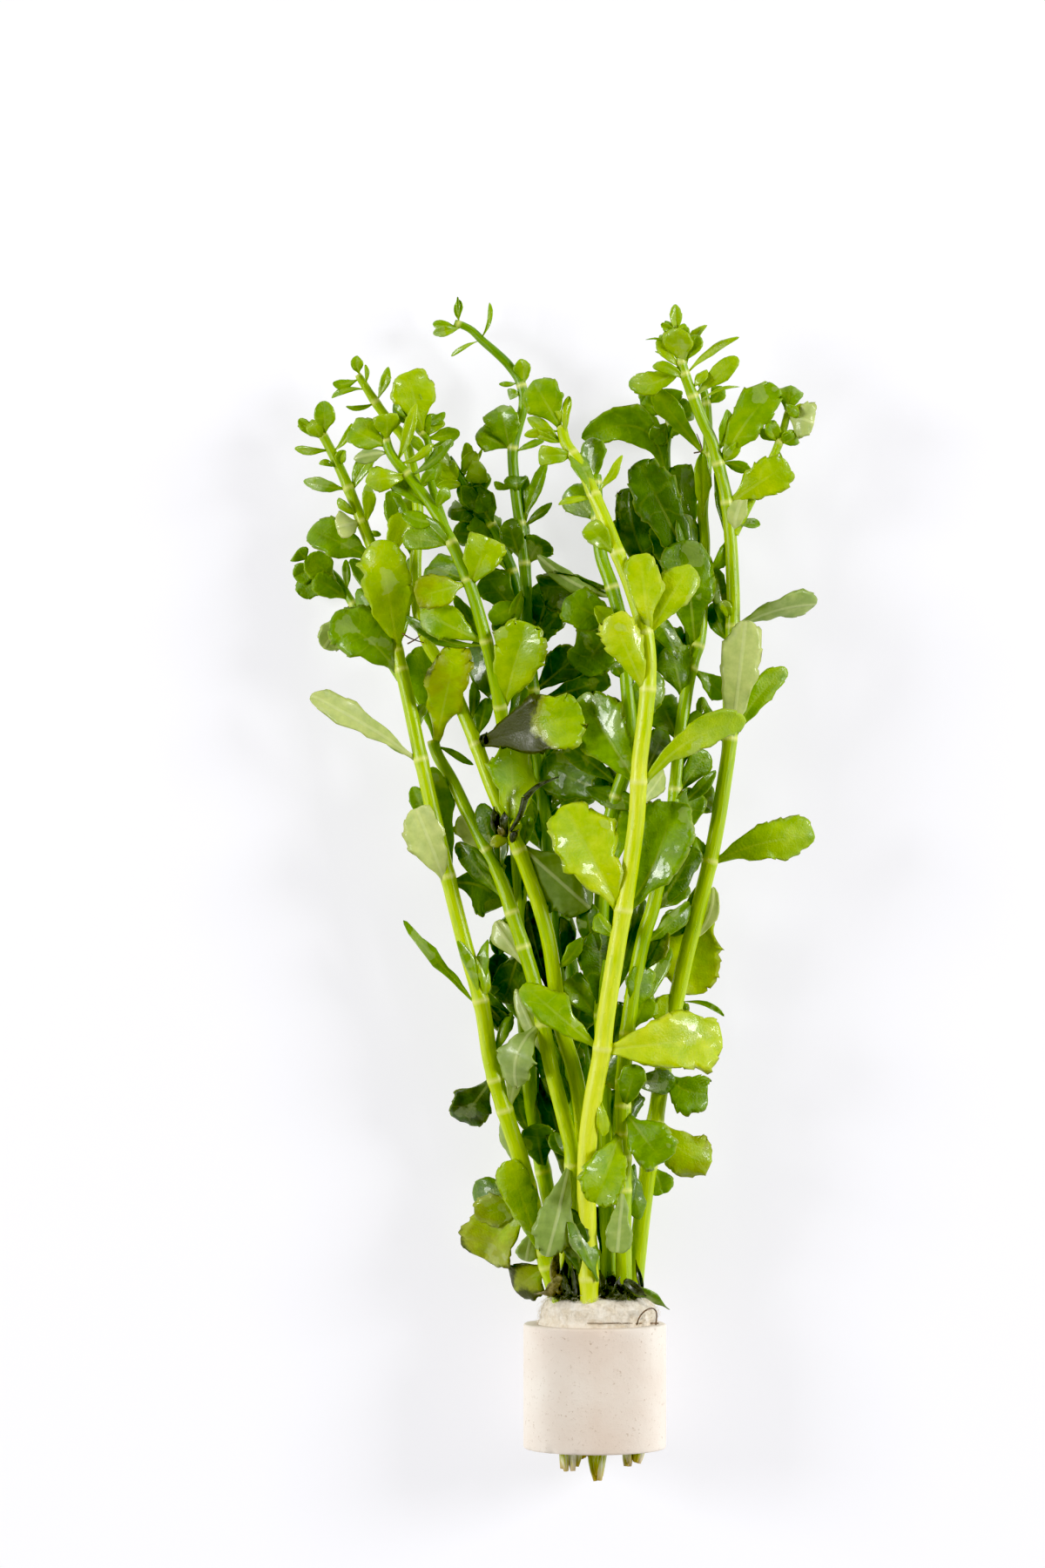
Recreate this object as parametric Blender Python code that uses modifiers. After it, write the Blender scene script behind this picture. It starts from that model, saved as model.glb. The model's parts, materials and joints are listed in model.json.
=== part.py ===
"""Water hyssop: a lying bunch of leafy stems, held by a wool plug in a short ceramic ring.

The ring lies on its side along Y and the stems fan out from it towards +Y. Z is up.
Places are read off a photograph taken from straight above, as columns and rows of its
1200 x 1800 frame, and each gets a height above the surface in millimetres.
"""

import math

import bmesh
import bpy
from mathutils import Matrix, Vector
from mathutils.bvhtree import BVHTree

MM = 0.001

# Ceramic ring
RING_OUTER_DIAMETER = 0.0250
RING_WALL = 0.0025
RING_SIDES = 32
RING_CHAMFER = 0.0005

# Wool plug
PLUG_SIDES = 24
PLUG_RADIUS_IN_RING = 0.0096
PLUG_RADIUS_PROUD = 0.0103
PLUG_ROUNDING = 0.0012
PLUG_FOOT_RECESS = 0.0012

# Clearances between neighbouring pieces
GAP = 0.0003
STEM_CHANNEL_GAP = 0.0005

# Stems
STEM_SIDES = 6
STEM_POINT_SPACING = 0.0125
SHOOT_POINT_SPACING = 0.0070
SHOOT_END_ROOM = 1.3
TAPER_POWER = 0.55

# Leaves
LEAF_THICKNESS = 0.0005
LARGE_LEAF_ROWS = 4
BROAD_LEAF_COLUMNS = 30
LEAF_CUP = 0.16
PETIOLE_SHARE = 0.17
WIDEST_AT = 0.64
TIP_SHARE = 0.38
LIFT_STEP_MM = 0.75
LIFT_STEPS = 14
NARROWING = (1.0, 0.85, 0.7)

# The view that places are read from: its scale is set by the ring's width
VIEW_COLUMN = 600
VIEW_ROW = 900
EYE_HEIGHT = 1.086
RING_COLUMN = 683
RING_COLUMNS_WIDE = 164
RING_TOP_ROW = 1519
RING_FOOT_ROW = 1662
PLUG_TOP_ROW = 1492
PIXEL = RING_OUTER_DIAMETER / RING_COLUMNS_WIDE
RING_AXIS_HEIGHT = RING_OUTER_DIAMETER / 2

# Each stem, from its crown down to the plug: a route of (column, row, height in mm), its
# thinnest and thickest radius in mm, its seat in the plug as (angle in degrees, radius in
# mm) about the ring's axis, and the row where its cut end stops.
STEMS = {
    "stem_01": {
        "route": [(361, 483, 8), (371, 500, 8), (388, 533, 8.5), (402, 565, 9), (417, 603, 9.5),
                  (436, 655, 10.5), (455, 744, 12), (466, 790, 13), (484, 874, 14), (499, 940, 14.5),
                  (516, 1013, 15), (534, 1085, 15), (553, 1153, 15), (564, 1220, 14.8),
                  (582, 1282, 14), (602, 1345, 12.8), (622, 1430, 11.4)],
        "radii": (0.55, 1.5), "seat": (196, 7.2), "cut_row": 1672},
    "stem_02": {
        "route": [(497, 850, 9), (503, 868, 9.5), (520, 898, 11), (538, 936, 13), (558, 975, 15),
                  (576, 1013, 16.4), (589, 1051, 17.3), (602, 1090, 17.5), (614, 1130, 17.6),
                  (624, 1179, 17.6), (634, 1230, 17.5), (648, 1285, 17.3), (657, 1330, 17.2),
                  (654, 1400, 16.8)],
        "radii": (0.9, 1.35), "seat": (147, 7.2), "cut_row": 1691},
    "stem_03": {
        "route": [(411, 430, 9), (430, 460, 9), (446, 482, 9), (464, 503, 9), (472, 530, 9.5),
                  (478, 560, 10.5), (480, 600, 11), (477, 650, 11.5), (480, 700, 12), (492, 740, 12.2),
                  (512, 772, 12.5), (532, 818, 13.5), (547, 855, 15), (565, 904, 17.5),
                  (590, 962, 19), (601, 988, 19), (619, 1039, 18.6), (632, 1090, 18),
                  (643, 1173, 16.3), (658, 1224, 14.8), (668, 1280, 13.7), (670, 1350, 13.4)],
        "radii": (0.5, 1.45), "seat": (150, 2.75), "cut_row": 1677},
    "stem_04": {
        "route": [(440, 488, 16), (445, 512, 16.5), (455, 530, 17), (480, 560, 17.5), (500, 588, 18.5),
                  (519, 624, 19.5), (538, 668, 20), (552, 712, 20), (565, 764, 19),
                  (574, 810, 17), (580, 850, 14.5), (583, 870, 13.5), (590, 925, 11.5),
                  (594, 980, 11), (597, 1040, 10.8), (600, 1135, 10.3), (606, 1210, 9.5),
                  (614, 1290, 8.2), (636, 1400, 7)],
        "radii": (0.6, 1.4), "seat": (245, 7.2), "cut_row": 1670},
    "stem_05": {
        "route": [(515, 525, 3.5), (530, 550, 3), (548, 578, 2.5), (570, 612, 2.2), (588, 655, 2),
                  (598, 700, 1.8), (606, 760, 1.7), (622, 880, 1.7), (640, 1000, 2.2), (662, 1150, 3.2),
                  (685, 1300, 4.6), (697, 1400, 5.5)],
        "radii": (0.55, 1.3), "seat": (294, 7.2), "cut_row": 1668},
    "stem_06": {
        "route": [(522, 370, 6), (540, 378, 6), (555, 392, 6.5), (570, 405, 7), (585, 420, 7),
                  (598, 440, 7.5), (601, 465, 8), (595, 490, 8), (589, 515, 8), (590, 545, 8),
                  (594, 580, 8), (600, 620, 8), (604, 670, 8), (605, 720, 8), (611, 780, 8),
                  (618, 860, 8), (630, 980, 8.2), (640, 1100, 8.6), (655, 1250, 9.2),
                  (672, 1380, 9.6)],
        "radii": (0.45, 1.35), "seat": (270, 2.75), "cut_row": 1669},
    "stem_07": {
        "route": [(684, 545, 14), (686, 590, 14.5), (690, 636, 15), (702, 672, 16), (711, 706, 16.6),
                  (717, 750, 17), (721, 795, 17.3), (724, 841, 17.3), (719, 880, 17), (707, 918, 16.5),
                  (697, 960, 16), (692, 1010, 15.5), (690, 1100, 15), (692, 1200, 14.6),
                  (695, 1330, 14.2)],
        "radii": (0.9, 1.4), "seat": (30, 2.75), "cut_row": 1702},
    "stem_08": {
        "route": [(645, 490, 19), (649, 507, 20), (660, 525, 21), (672, 545, 22), (682, 568, 23),
                  (697, 603, 24.5), (710, 637, 25.5), (722, 667, 26), (733, 700, 26.5), (742, 730, 27),
                  (745, 760, 27), (744, 790, 27), (740, 830, 27), (735, 870, 26.8),
                  (733, 905, 26.5), (730, 950, 26), (719, 1026, 25.2), (708, 1090, 24.4),
                  (696, 1166, 23.5), (691, 1209, 22.8), (681, 1262, 22), (674, 1325, 21),
                  (674, 1400, 20.2)],
        "radii": (0.75, 1.65), "seat": (98, 7.2), "cut_row": 1671},
    "stem_09": {
        "route": [(803, 432, 8), (811, 462, 8), (813, 500, 8), (811, 545, 8.5), (807, 585, 9.5),
                  (809, 625, 11), (807, 680, 12), (804, 730, 13), (794, 766, 14), (786, 810, 15),
                  (779, 870, 16.5), (772, 935, 18), (752, 1033, 18.4), (739, 1077, 18.5),
                  (725, 1150, 18.4), (716, 1240, 18.2), (716, 1340, 18), (716, 1420, 17.8)],
        "radii": (0.5, 1.4), "seat": (45, 7.2), "cut_row": 1670},
    "stem_10": {
        "route": [(778, 388, 15), (783, 418, 15), (790, 440, 14.8), (797, 458, 14.6), (806, 482, 14.4),
                  (817, 505, 14.2), (825, 533, 14), (834, 572, 14), (839, 620, 14),
                  (842, 688, 14), (841, 730, 14.2), (838, 790, 14.5), (838, 848, 14.8),
                  (832, 895, 15), (824, 945, 15), (815, 990, 15), (800, 1050, 14.8),
                  (785, 1110, 14.4), (768, 1190, 13.7), (752, 1290, 12.5), (738, 1390, 11.5)],
        "radii": (0.6, 1.5), "seat": (343, 7.2), "cut_row": 1684},
}

# Side shoots: the route from the crown, the radii in mm, and the stem and row they grow from
SHOOTS = {
    "shoot_01": {"route": [(352, 644, 3), (372, 652, 3), (388, 665, 3.5), (403, 690, 4.5),
                           (425, 722, 7), (443, 752, 10)],
                 "radii": (0.5, 0.8), "joins": ("stem_01", 776)},
    "shoot_02": {"route": [(475, 455, 12), (478, 488, 12.5), (491, 505, 13), (492, 530, 13.5),
                           (495, 555, 15)],
                 "radii": (0.45, 0.7), "joins": ("stem_04", 604)},
    "shoot_03": {"route": [(760, 455, 2.5), (769, 485, 2.5), (765, 515, 2.5), (767, 560, 3),
                           (777, 640, 5), (788, 700, 9)],
                 "radii": (0.5, 0.9), "joins": ("stem_09", 752)},
    "shoot_04": {"route": [(905, 472, 14), (899, 495, 14), (892, 515, 14), (878, 545, 14),
                           (862, 575, 14)],
                 "radii": (0.5, 0.8), "joins": ("stem_10", 612)},
}

# Leaves that are pieces of their own, in the order in which they find room. Each row is
# stem, row of the base on it, tip column and row, width in columns, rise from base to tip
# in mm, roll in degrees, arch in mm and sway in columns, to the right of the way it grows.
LARGE_LEAVES = {
    "leaf_01": ("stem_08", 1046, 640, 932, 62, -1, 8, 2, 0),
    "leaf_02": ("stem_08", 1046, 772, 920, 64, -3, -8, 2, 8),
    "leaf_03": ("stem_08", 897, 668, 798, 55, -5, 0, 1, 0),
    "leaf_04": ("stem_08", 903, 857, 828, 34, -3, 15, 3, -16),
    "leaf_05": ("stem_08", 1203, 829, 1190, 70, -3, 0, 2, 0),
    "leaf_06": ("stem_08", 1204, 600, 1130, 32, -1, 0, 1.5, 0),
    "leaf_07": ("stem_08", 791, 702, 706, 44, 3, 0, 1, 0),
    "leaf_08": ("stem_08", 728, 735, 636, 36, 1, 10, 1, 0),
    "leaf_09": ("stem_08", 727, 793, 648, 38, 3, 0, 1, 0),
    "leaf_10": ("stem_08", 636, 674, 602, 26, 2, 0, 1, 0),
    "leaf_11": ("stem_08", 492, 612, 437, 36, 2, 0, 1, 0),
    "leaf_12": ("stem_08", 522, 618, 523, 22, 1, 0, 1, 0),
    "leaf_13": ("stem_09", 1300, 683, 1380, 46, 6, 0, 2, 0),
    "leaf_14": ("stem_09", 1277, 762, 1335, 48, 4, 0, 2, 0),
    "leaf_15": ("stem_09", 1268, 730, 1222, 32, 5, 0, 1, 0),
    "leaf_16": ("stem_10", 1288, 816, 1330, 52, -1, 0, 1, 0),
    "leaf_17": ("stem_10", 1235, 816, 1250, 32, 1, 0, 1, 0),
    "leaf_18": ("stem_02", 1336, 628, 1443, 42, 5, 0, 2, 0),
    "leaf_19": ("stem_01", 1436, 585, 1332, 30, 4, 0, 1, 0),
    "leaf_20": ("stem_01", 1385, 562, 1450, 56, -6, 0, 1, 0),
    "leaf_21": ("stem_01", 1452, 590, 1480, 42, -5, 0, 1, 0),
    "leaf_22": ("stem_08", 1466, 652, 1388, 28, 2, 0, 1, 0),
    "leaf_23": ("stem_09", 1366, 709, 1438, 28, 4, 0, 1, 0),
    "leaf_24": ("stem_10", 846, 861, 714, 46, 6, 0, 2, 0),
    "leaf_25": ("stem_10", 846, 902, 770, 24, -2, 0, 1, 0),
    "leaf_26": ("stem_10", 990, 936, 957, 46, 0, 0, 2, -10),
    "leaf_27": ("stem_10", 1002, 802, 1145, 48, -7, 0, 0, 0),
    "leaf_28": ("stem_10", 533, 892, 443, 42, 2, 0, 1, 0),
    "leaf_29": ("stem_10", 718, 938, 690, 20, 1, 40, 2, 0),
    "leaf_30": ("stem_10", 575, 905, 532, 36, 3, 0, 1, 0),
    "leaf_31": ("shoot_04", 473, 908, 442, 32, 2, 0, 1, 0),
    "leaf_32": ("shoot_04", 476, 935, 486, 38, 2, 0, 1, 0),
    "leaf_33": ("stem_09", 668, 733, 530, 46, 0, 0, 1, 0),
    "leaf_34": ("stem_09", 742, 786, 620, 55, -3, 0, 1, 0),
    "leaf_35": ("stem_10", 420, 721, 433, 25, -2, 0, 1, 0),
    "leaf_36": ("stem_04", 812, 604, 714, 58, 5, 0, 1, 0),
    "leaf_37": ("stem_03", 855, 669, 820, 55, 10, 0, 3, 0),
    "leaf_38": ("stem_04", 668, 561, 617, 40, 3, 0, 1, 0),
    "leaf_39": ("stem_04", 669, 477, 685, 30, 2, 0, 1, 0),
    "leaf_40": ("stem_04", 737, 483, 703, 32, -1, 0, 2, 0),
    "leaf_41": ("stem_01", 745, 436, 620, 58, 5, 0, 1, 0),
    "leaf_42": ("stem_01", 870, 357, 798, 26, -2, 0, 2, -14),
    "leaf_43": ("stem_01", 1012, 478, 928, 46, 2, 0, 1, 0),
    "leaf_44": ("stem_01", 1013, 577, 1040, 38, -2, 0, 1, 0),
}

# Leaves that are one piece with their stem: row of the base, tip column and row, width in
# columns, rise in mm, arch in mm and sway in columns.
GROWN_LEAVES = {
    "stem_01": [
        (500, 370, 461, 20, 3, 1, 0), (502, 343, 481, 12, 0, 0, 0), (560, 348, 552, 15, -1, 1, 0),
        (563, 432, 520, 14, 0, 0, 0), (598, 386, 606, 28, 2, 1, 0), (640, 356, 607, 36, -2, 1, 0),
        (655, 477, 568, 26, -3, 0, 0), (770, 380, 715, 40, -1, 1, 0), (1008, 497, 880, 22, -3, 0, 0),
        (1152, 463, 1057, 13, -2, 0, -9), (1150, 525, 1080, 12, 3, 0, 0), (1238, 527, 1282, 40, -6, 0, 0),
        (1276, 598, 1200, 26, 3, 0, 0), (1362, 542, 1369, 28, -4, 1, 0)],
    "stem_02": [
        (856, 525, 741, 44, 9, 3, 0), (852, 482, 742, 36, -2, 0, 0), (978, 530, 935, 28, -2, 0, 0),
        (1088, 578, 1152, 34, -6, 0, 0), (1046, 572, 1095, 20, -4, 0, 0), (1176, 594, 1248, 36, -2, 4, 12)],
    "stem_03": [
        (431, 410, 408, 13, 1, 0, 0), (433, 382, 440, 12, 0, 0, 0), (462, 446, 421, 10, 1, 0, 0),
        (975, 678, 1043, 56, -1, 1, 0), (956, 585, 854, 50, 0, 1, 0), (978, 606, 937, 18, 0, 0, 0)],
    "stem_04": [
        (506, 440, 474, 22, 3, 0, 0), (512, 402, 498, 28, 0, 1, 0), (545, 420, 553, 24, 1, 1, 0),
        (622, 463, 617, 20, -3, 0, 0), (667, 492, 650, 30, -5, 0, 0), (815, 545, 736, 28, -4, 0, 0),
        (1345, 615, 1290, 34, 4, 0, 0)],
    "stem_05": [
        (575, 553, 540, 22, 1, 0, 0), (600, 528, 598, 24, -1, 0, 0), (655, 550, 590, 34, 1, 0, 0),
        (657, 560, 670, 28, -2, 0, 0)],
    "stem_06": [
        (371, 497, 371, 11, 0, 0, 0), (372, 528, 344, 9, 1, 0, 0), (445, 597, 412, 17, 1, 0, 0),
        (513, 575, 465, 38, 1, 1, 0), (515, 547, 497, 22, 0, 0, 0), (600, 628, 530, 14, 1, 0, 0),
        (645, 622, 618, 35, 1, 0, 0), (790, 668, 750, 40, -2, 0, 0)],
    "stem_07": [
        (552, 680, 502, 28, 0, 0, 0), (547, 742, 535, 33, 0, 1, -34), (595, 653, 560, 30, -2, 0, 0),
        (682, 617, 637, 18, -2, 0, 0), (676, 620, 672, 45, -6, 0, 0), (708, 667, 772, 52, -6, 0, 0),
        (916, 622, 880, 50, -7, 0, 0), (1166, 680, 1068, 36, 2, 0, 0), (1010, 712, 925, 30, 1, 0, 0)],
    "stem_08": [
        (502, 654, 455, 10, 1, 0, 0), (570, 715, 522, 10, 1, 0, 0)],
    "stem_09": [
        (462, 829, 443, 15, 1, 0, 0), (520, 750, 447, 16, 1, 0, 0), (768, 757, 725, 46, -3, 0, 0),
        (767, 833, 800, 22, -1, 0, 0), (850, 757, 800, 46, -5, 0, 0), (906, 812, 862, 24, -1, 0, 0),
        (935, 820, 905, 34, -4, 0, 0), (1185, 738, 1115, 30, -1, 0, 0), (1240, 776, 1240, 26, -3, 0, 0),
        (1330, 735, 1400, 22, -2, 0, 0)],
    "stem_10": [
        (388, 776, 349, 13, 0, 0, 0), (415, 777, 377, 26, 4, 0, 0), (392, 757, 385, 13, 0, 0, 0),
        (425, 812, 373, 10, 0, 0, 0), (430, 849, 387, 9, -1, 0, 0), (455, 847, 410, 20, 1, 0, 0),
        (533, 863, 543, 13, -1, 0, 0), (992, 812, 1064, 18, -3, 0, 0), (1340, 762, 1370, 26, -1, 0, 0)],
    "shoot_01": [
        (644, 341, 632, 18, 1, 0, 0), (648, 337, 662, 14, 0, 0, 0), (655, 343, 683, 28, 0, 0, 0),
        (695, 366, 735, 28, -1, 0, 0)],
    "shoot_02": [
        (470, 470, 427, 46, 2, 1, 0), (505, 528, 496, 14, 0, 0, 0)],
    "shoot_03": [
        (455, 736, 470, 20, 0, 0, 0), (485, 747, 507, 22, 1, 0, 0), (638, 722, 560, 40, -1, 0, 0),
        (640, 784, 533, 45, -2, 0, 0)],
    "shoot_04": [
        (505, 872, 492, 12, 0, 0, 0)],
}


def at(column, row, height_mm):
    """The point at a height above the surface that the view shows at a column and row."""
    height = height_mm * MM
    scale = PIXEL * (EYE_HEIGHT - height) / (EYE_HEIGHT - RING_AXIS_HEIGHT)
    return Vector(((column - VIEW_COLUMN) * scale, (VIEW_ROW - row) * scale, height))


def smooth_route(points, spacing):
    """Evenly spaced points along a smooth curve through the given ones."""
    fine = []
    padded = [points[0]] + points + [points[-1]]
    steps = 10
    for before, start, end, after in zip(padded, padded[1:], padded[2:], padded[3:]):
        for step in range(steps):
            t = step / steps
            fine.append(0.5 * (2 * start + (end - before) * t
                               + (2 * before - 5 * start + 4 * end - after) * t * t
                               + (3 * start - before - 3 * end + after) * t ** 3))
    fine.append(points[-1])
    total = sum((b - a).length for a, b in zip(fine, fine[1:]))
    count = max(3, round(total / spacing))
    wanted = [total * i / count for i in range(count + 1)]
    even = [fine[0]]
    travelled = 0.0
    for a, b in zip(fine, fine[1:]):
        length = (b - a).length
        while len(even) < count and wanted[len(even)] <= travelled + length:
            even.append(a.lerp(b, (wanted[len(even)] - travelled) / length))
        travelled += length
    even.append(fine[-1])
    return even


def taper(points, thin_mm, thick_mm):
    """The radius at each point of a stem, growing from the crown downwards."""
    last = len(points) - 1
    return [MM * (thin_mm + (thick_mm - thin_mm) * (i / last) ** TAPER_POWER) for i in range(last + 1)]


def seat_columns(stem):
    """The column and height in mm at which a stem runs through the plug."""
    angle, radius = stem["seat"]
    column = RING_COLUMN + radius * math.cos(math.radians(angle)) * MM / PIXEL
    height = RING_AXIS_HEIGHT / MM + radius * math.sin(math.radians(angle))
    return column, height


def stem_path(stem):
    """A stem's points and radii, from its crown through the plug to its cut end."""
    column, height = seat_columns(stem)
    route = [at(*point) for point in stem["route"]]
    route += [at(column, row, height) for row in (PLUG_TOP_ROW - 8, RING_TOP_ROW, stem["cut_row"])]
    points = smooth_route(route, STEM_POINT_SPACING)
    return points, taper(points, *stem["radii"])


def shoot_path(shoot, paths):
    """A side shoot's points and radii. It stops just short of the stem it grows from."""
    stem, row = shoot["joins"]
    axis, radius = on_stem(paths[stem], row)
    growing = direction_at(paths[stem], axis)
    route = [at(*point) for point in shoot["route"]]
    beside = route[-1] - axis
    beside = (beside - growing * beside.dot(growing)).normalized()
    end_radius = shoot["radii"][1] * MM
    route.append(axis + beside * (radius + end_radius * SHOOT_END_ROOM + GAP))
    points = smooth_route(route, SHOOT_POINT_SPACING)
    return points, taper(points, *shoot["radii"])


def row_of(point):
    """The row at which the view shows a point."""
    scale = PIXEL * (EYE_HEIGHT - point.z) / (EYE_HEIGHT - RING_AXIS_HEIGHT)
    return VIEW_ROW - point.y / scale


def on_stem(path, row):
    """The point on a stem's axis at a row, and the stem's radius there."""
    points, radii = path
    rows = [row_of(point) for point in points]
    for i in range(len(points) - 1):
        if rows[i] <= row <= rows[i + 1]:
            share = (row - rows[i]) / (rows[i + 1] - rows[i])
            return points[i].lerp(points[i + 1], share), radii[i] + (radii[i + 1] - radii[i]) * share
    return points[0].copy(), radii[0]


def direction_at(path, place):
    """The way a stem runs at the point of it nearest to a place."""
    points = path[0]
    nearest = min(range(1, len(points) - 1), key=lambda i: (points[i] - place).length)
    return (points[nearest - 1] - points[nearest + 1]).normalized()


def blade_share(t):
    """A leaf's width at a share t of its length, as a share of its full width."""
    if t < WIDEST_AT:
        s = t / WIDEST_AT
        return PETIOLE_SHARE + (1 - PETIOLE_SHARE) * s * s * (3 - 2 * s)
    s = (t - WIDEST_AT) / (1 - WIDEST_AT)
    return max(TIP_SHARE, math.sqrt(max(0.0, 1 - s * s)))


def leaf_grid(start, tip, width, roll, arch, sway, rows):
    """Rows of three points across a leaf, from its base to its tip, with their normals."""
    chord = tip - start
    plan_side = chord.cross(Vector((0, 0, 1))).normalized()
    lift = Vector((0, 0, arch * MM)) + plan_side * sway * PIXEL

    def midrib(t):
        return start + chord * t + lift * 4 * t * (1 - t)

    grid = []
    for i in range(rows + 1):
        t = (i / rows) ** 0.8
        along = (midrib(t + 0.02) - midrib(t - 0.02)).normalized()
        side = along.cross(Vector((0, 0, 1))).normalized()
        side = Matrix.Rotation(math.radians(roll), 3, along) @ side
        normal = side.cross(along)
        half = 0.5 * width * blade_share(t) * PIXEL / max(0.35, math.cos(math.radians(roll)))
        edge_lift = normal * half * LEAF_CUP
        grid.append([(midrib(t) - side * half + edge_lift, normal), (midrib(t), normal),
                     (midrib(t) + side * half + edge_lift, normal)])
    return grid


def sheets(grid, offsets):
    """A search tree of copies of a leaf's surface, moved along its normals."""
    points = []
    faces = []
    for offset in offsets:
        first = len(points)
        points += [place + normal * offset for line in grid for place, normal in line]
        for i in range(len(grid) - 1):
            for j in range(2):
                a = first + i * 3 + j
                faces.append((a, a + 1, a + 4, a + 3))
    return BVHTree.FromPolygons(points, faces)


def spread_points(grid):
    """Points all over a leaf's surface: its own, and those halfway between them."""
    places = [[place for place, normal in line] for line in grid]
    points = [place for line in places for place in line]
    for line in places:
        points += [a.lerp(b, 0.5) for a, b in zip(line, line[1:])]
    for line, following in zip(places, places[1:]):
        points += [a.lerp(b, 0.5) for a, b in zip(line, following)]
        points += [a.lerp(b, 0.5) for a, b in zip(line, following[1:])]
    return points


def clears(grid, obstacles, margin):
    """True if a leaf neither crosses the other pieces nor comes too near to them."""
    tree = sheets(grid, (-margin, 0, margin))
    points = spread_points(grid)
    for obstacle in obstacles:
        if tree.overlap(obstacle):
            return False
        if any(obstacle.find_nearest(point, margin)[0] for point in points):
            return False
    return True


def find_room(make_grid, obstacles):
    """Lift a leaf's tip up or down in small steps, then narrow it, until it clears the others."""
    margin = LEAF_THICKNESS / 2 + GAP
    tries = [0]
    for step in range(1, LIFT_STEPS + 1):
        tries += [-step, step]
    for narrowing in NARROWING:
        for step in tries:
            grid = make_grid(step * LIFT_STEP_MM, narrowing)
            lowest = min(place.z for line in grid for place, normal in line)
            if lowest < LEAF_THICKNESS:
                continue
            if clears(grid, obstacles, margin):
                return grid, step, narrowing
    return None, None, None


def plain_material(name, colour, roughness):
    """A rough, non-metallic finish of one colour."""
    material = bpy.data.materials.new(name)
    material.use_nodes = True
    shader = material.node_tree.nodes["Principled BSDF"]
    shader.inputs["Base Color"].default_value = (*colour, 1)
    shader.inputs["Roughness"].default_value = roughness
    return material


def add_object(name, mesh, collection, material=None):
    """A new object in a collection."""
    piece = bpy.data.objects.new(name, mesh)
    collection.objects.link(piece)
    if material:
        mesh.materials.append(material)
    return piece


def tube_mesh(name, points, radii, extra=0.0):
    """A round tube along points as a closed mesh, thicker than its radii by a little extra."""
    curve = bpy.data.curves.new(name, "CURVE")
    curve.dimensions = "3D"
    curve.bevel_depth = 1.0
    curve.bevel_resolution = (STEM_SIDES - 4) // 2
    curve.use_fill_caps = True
    spline = curve.splines.new("POLY")
    spline.points.add(len(points) - 1)
    for knot, place, radius in zip(spline.points, points, radii):
        knot.co = (*place, 1)
        knot.radius = radius + extra
    holder = bpy.data.objects.new(name + "_curve", curve)
    bpy.context.scene.collection.objects.link(holder)
    graph = bpy.context.evaluated_depsgraph_get()
    mesh = bpy.data.meshes.new_from_object(holder.evaluated_get(graph))
    bpy.data.objects.remove(holder)
    weld(mesh)
    mesh.name = name
    return mesh


def weld(mesh):
    """Merge the doubled points of a mesh and turn its faces outwards."""
    shape = bmesh.new()
    shape.from_mesh(mesh)
    bmesh.ops.remove_doubles(shape, verts=shape.verts, dist=1e-6)
    bmesh.ops.recalc_face_normals(shape, faces=shape.faces)
    shape.to_mesh(mesh)
    shape.free()


def leaf_mesh(name, grid):
    """A leaf's open surface, shaped from a plain grid."""
    rows = len(grid) - 1
    shape = bmesh.new()
    bmesh.ops.create_grid(shape, x_segments=2, y_segments=rows, size=0.5)
    for point in shape.verts:
        column = round((point.co.x + 0.5) * 2)
        line = round((point.co.y + 0.5) * rows)
        point.co = grid[line][column][0]
    mesh = bpy.data.meshes.new(name)
    shape.to_mesh(mesh)
    shape.free()
    return mesh


def thicken(piece):
    """Give an open leaf surface its thickness."""
    shell = piece.modifiers.new("thickness", "SOLIDIFY")
    shell.thickness = LEAF_THICKNESS
    shell.offset = 0


def boolean(piece, other, operation):
    """Join another solid to a piece, or cut it away."""
    step = piece.modifiers.new(operation.lower() + "_" + other.name, "BOOLEAN")
    step.operation = operation
    step.solver = "EXACT"
    step.object = other


def turned_piece(name, profile, sides, collection, material):
    """A closed profile of (radius, distance along the axis) turned about the ring's axis."""
    mesh = bpy.data.meshes.new(name)
    points = [(radius, 0, distance) for radius, distance in profile]
    closed = profile[0][0] > 0
    edges = [(i, i + 1) for i in range(len(points) - 1)]
    if closed:
        edges.append((len(points) - 1, 0))
    mesh.from_pydata(points, edges, [])
    piece = add_object(name, mesh, collection, material)
    turn = piece.modifiers.new("turn", "SCREW")
    turn.axis = "Z"
    turn.steps = sides
    turn.render_steps = sides
    turn.use_merge_vertices = True
    turn.merge_threshold = 1e-5
    half_side = math.pi / sides
    lie_down = Matrix.Rotation(math.radians(-90), 4, "X")
    flat_side_down = Matrix.Rotation(half_side, 4, "Z")
    ring_end = at(RING_COLUMN, RING_FOOT_ROW, RING_AXIS_HEIGHT / MM)
    piece.matrix_world = Matrix.Translation(ring_end) @ lie_down @ flat_side_down
    return piece


def make_ring(collection, material):
    """The unglazed ring: a short tube with a small chamfer on its two outer edges."""
    outer = RING_OUTER_DIAMETER / 2 / math.cos(math.pi / RING_SIDES)
    inner = RING_OUTER_DIAMETER / 2 - RING_WALL
    length = (RING_FOOT_ROW - RING_TOP_ROW) * PIXEL
    c = RING_CHAMFER
    profile = [(outer - c, length), (outer, length - c), (outer, c), (outer - c, 0),
               (inner, 0), (inner, length)]
    return turned_piece("ceramic_ring", profile, RING_SIDES, collection, material)


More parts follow.
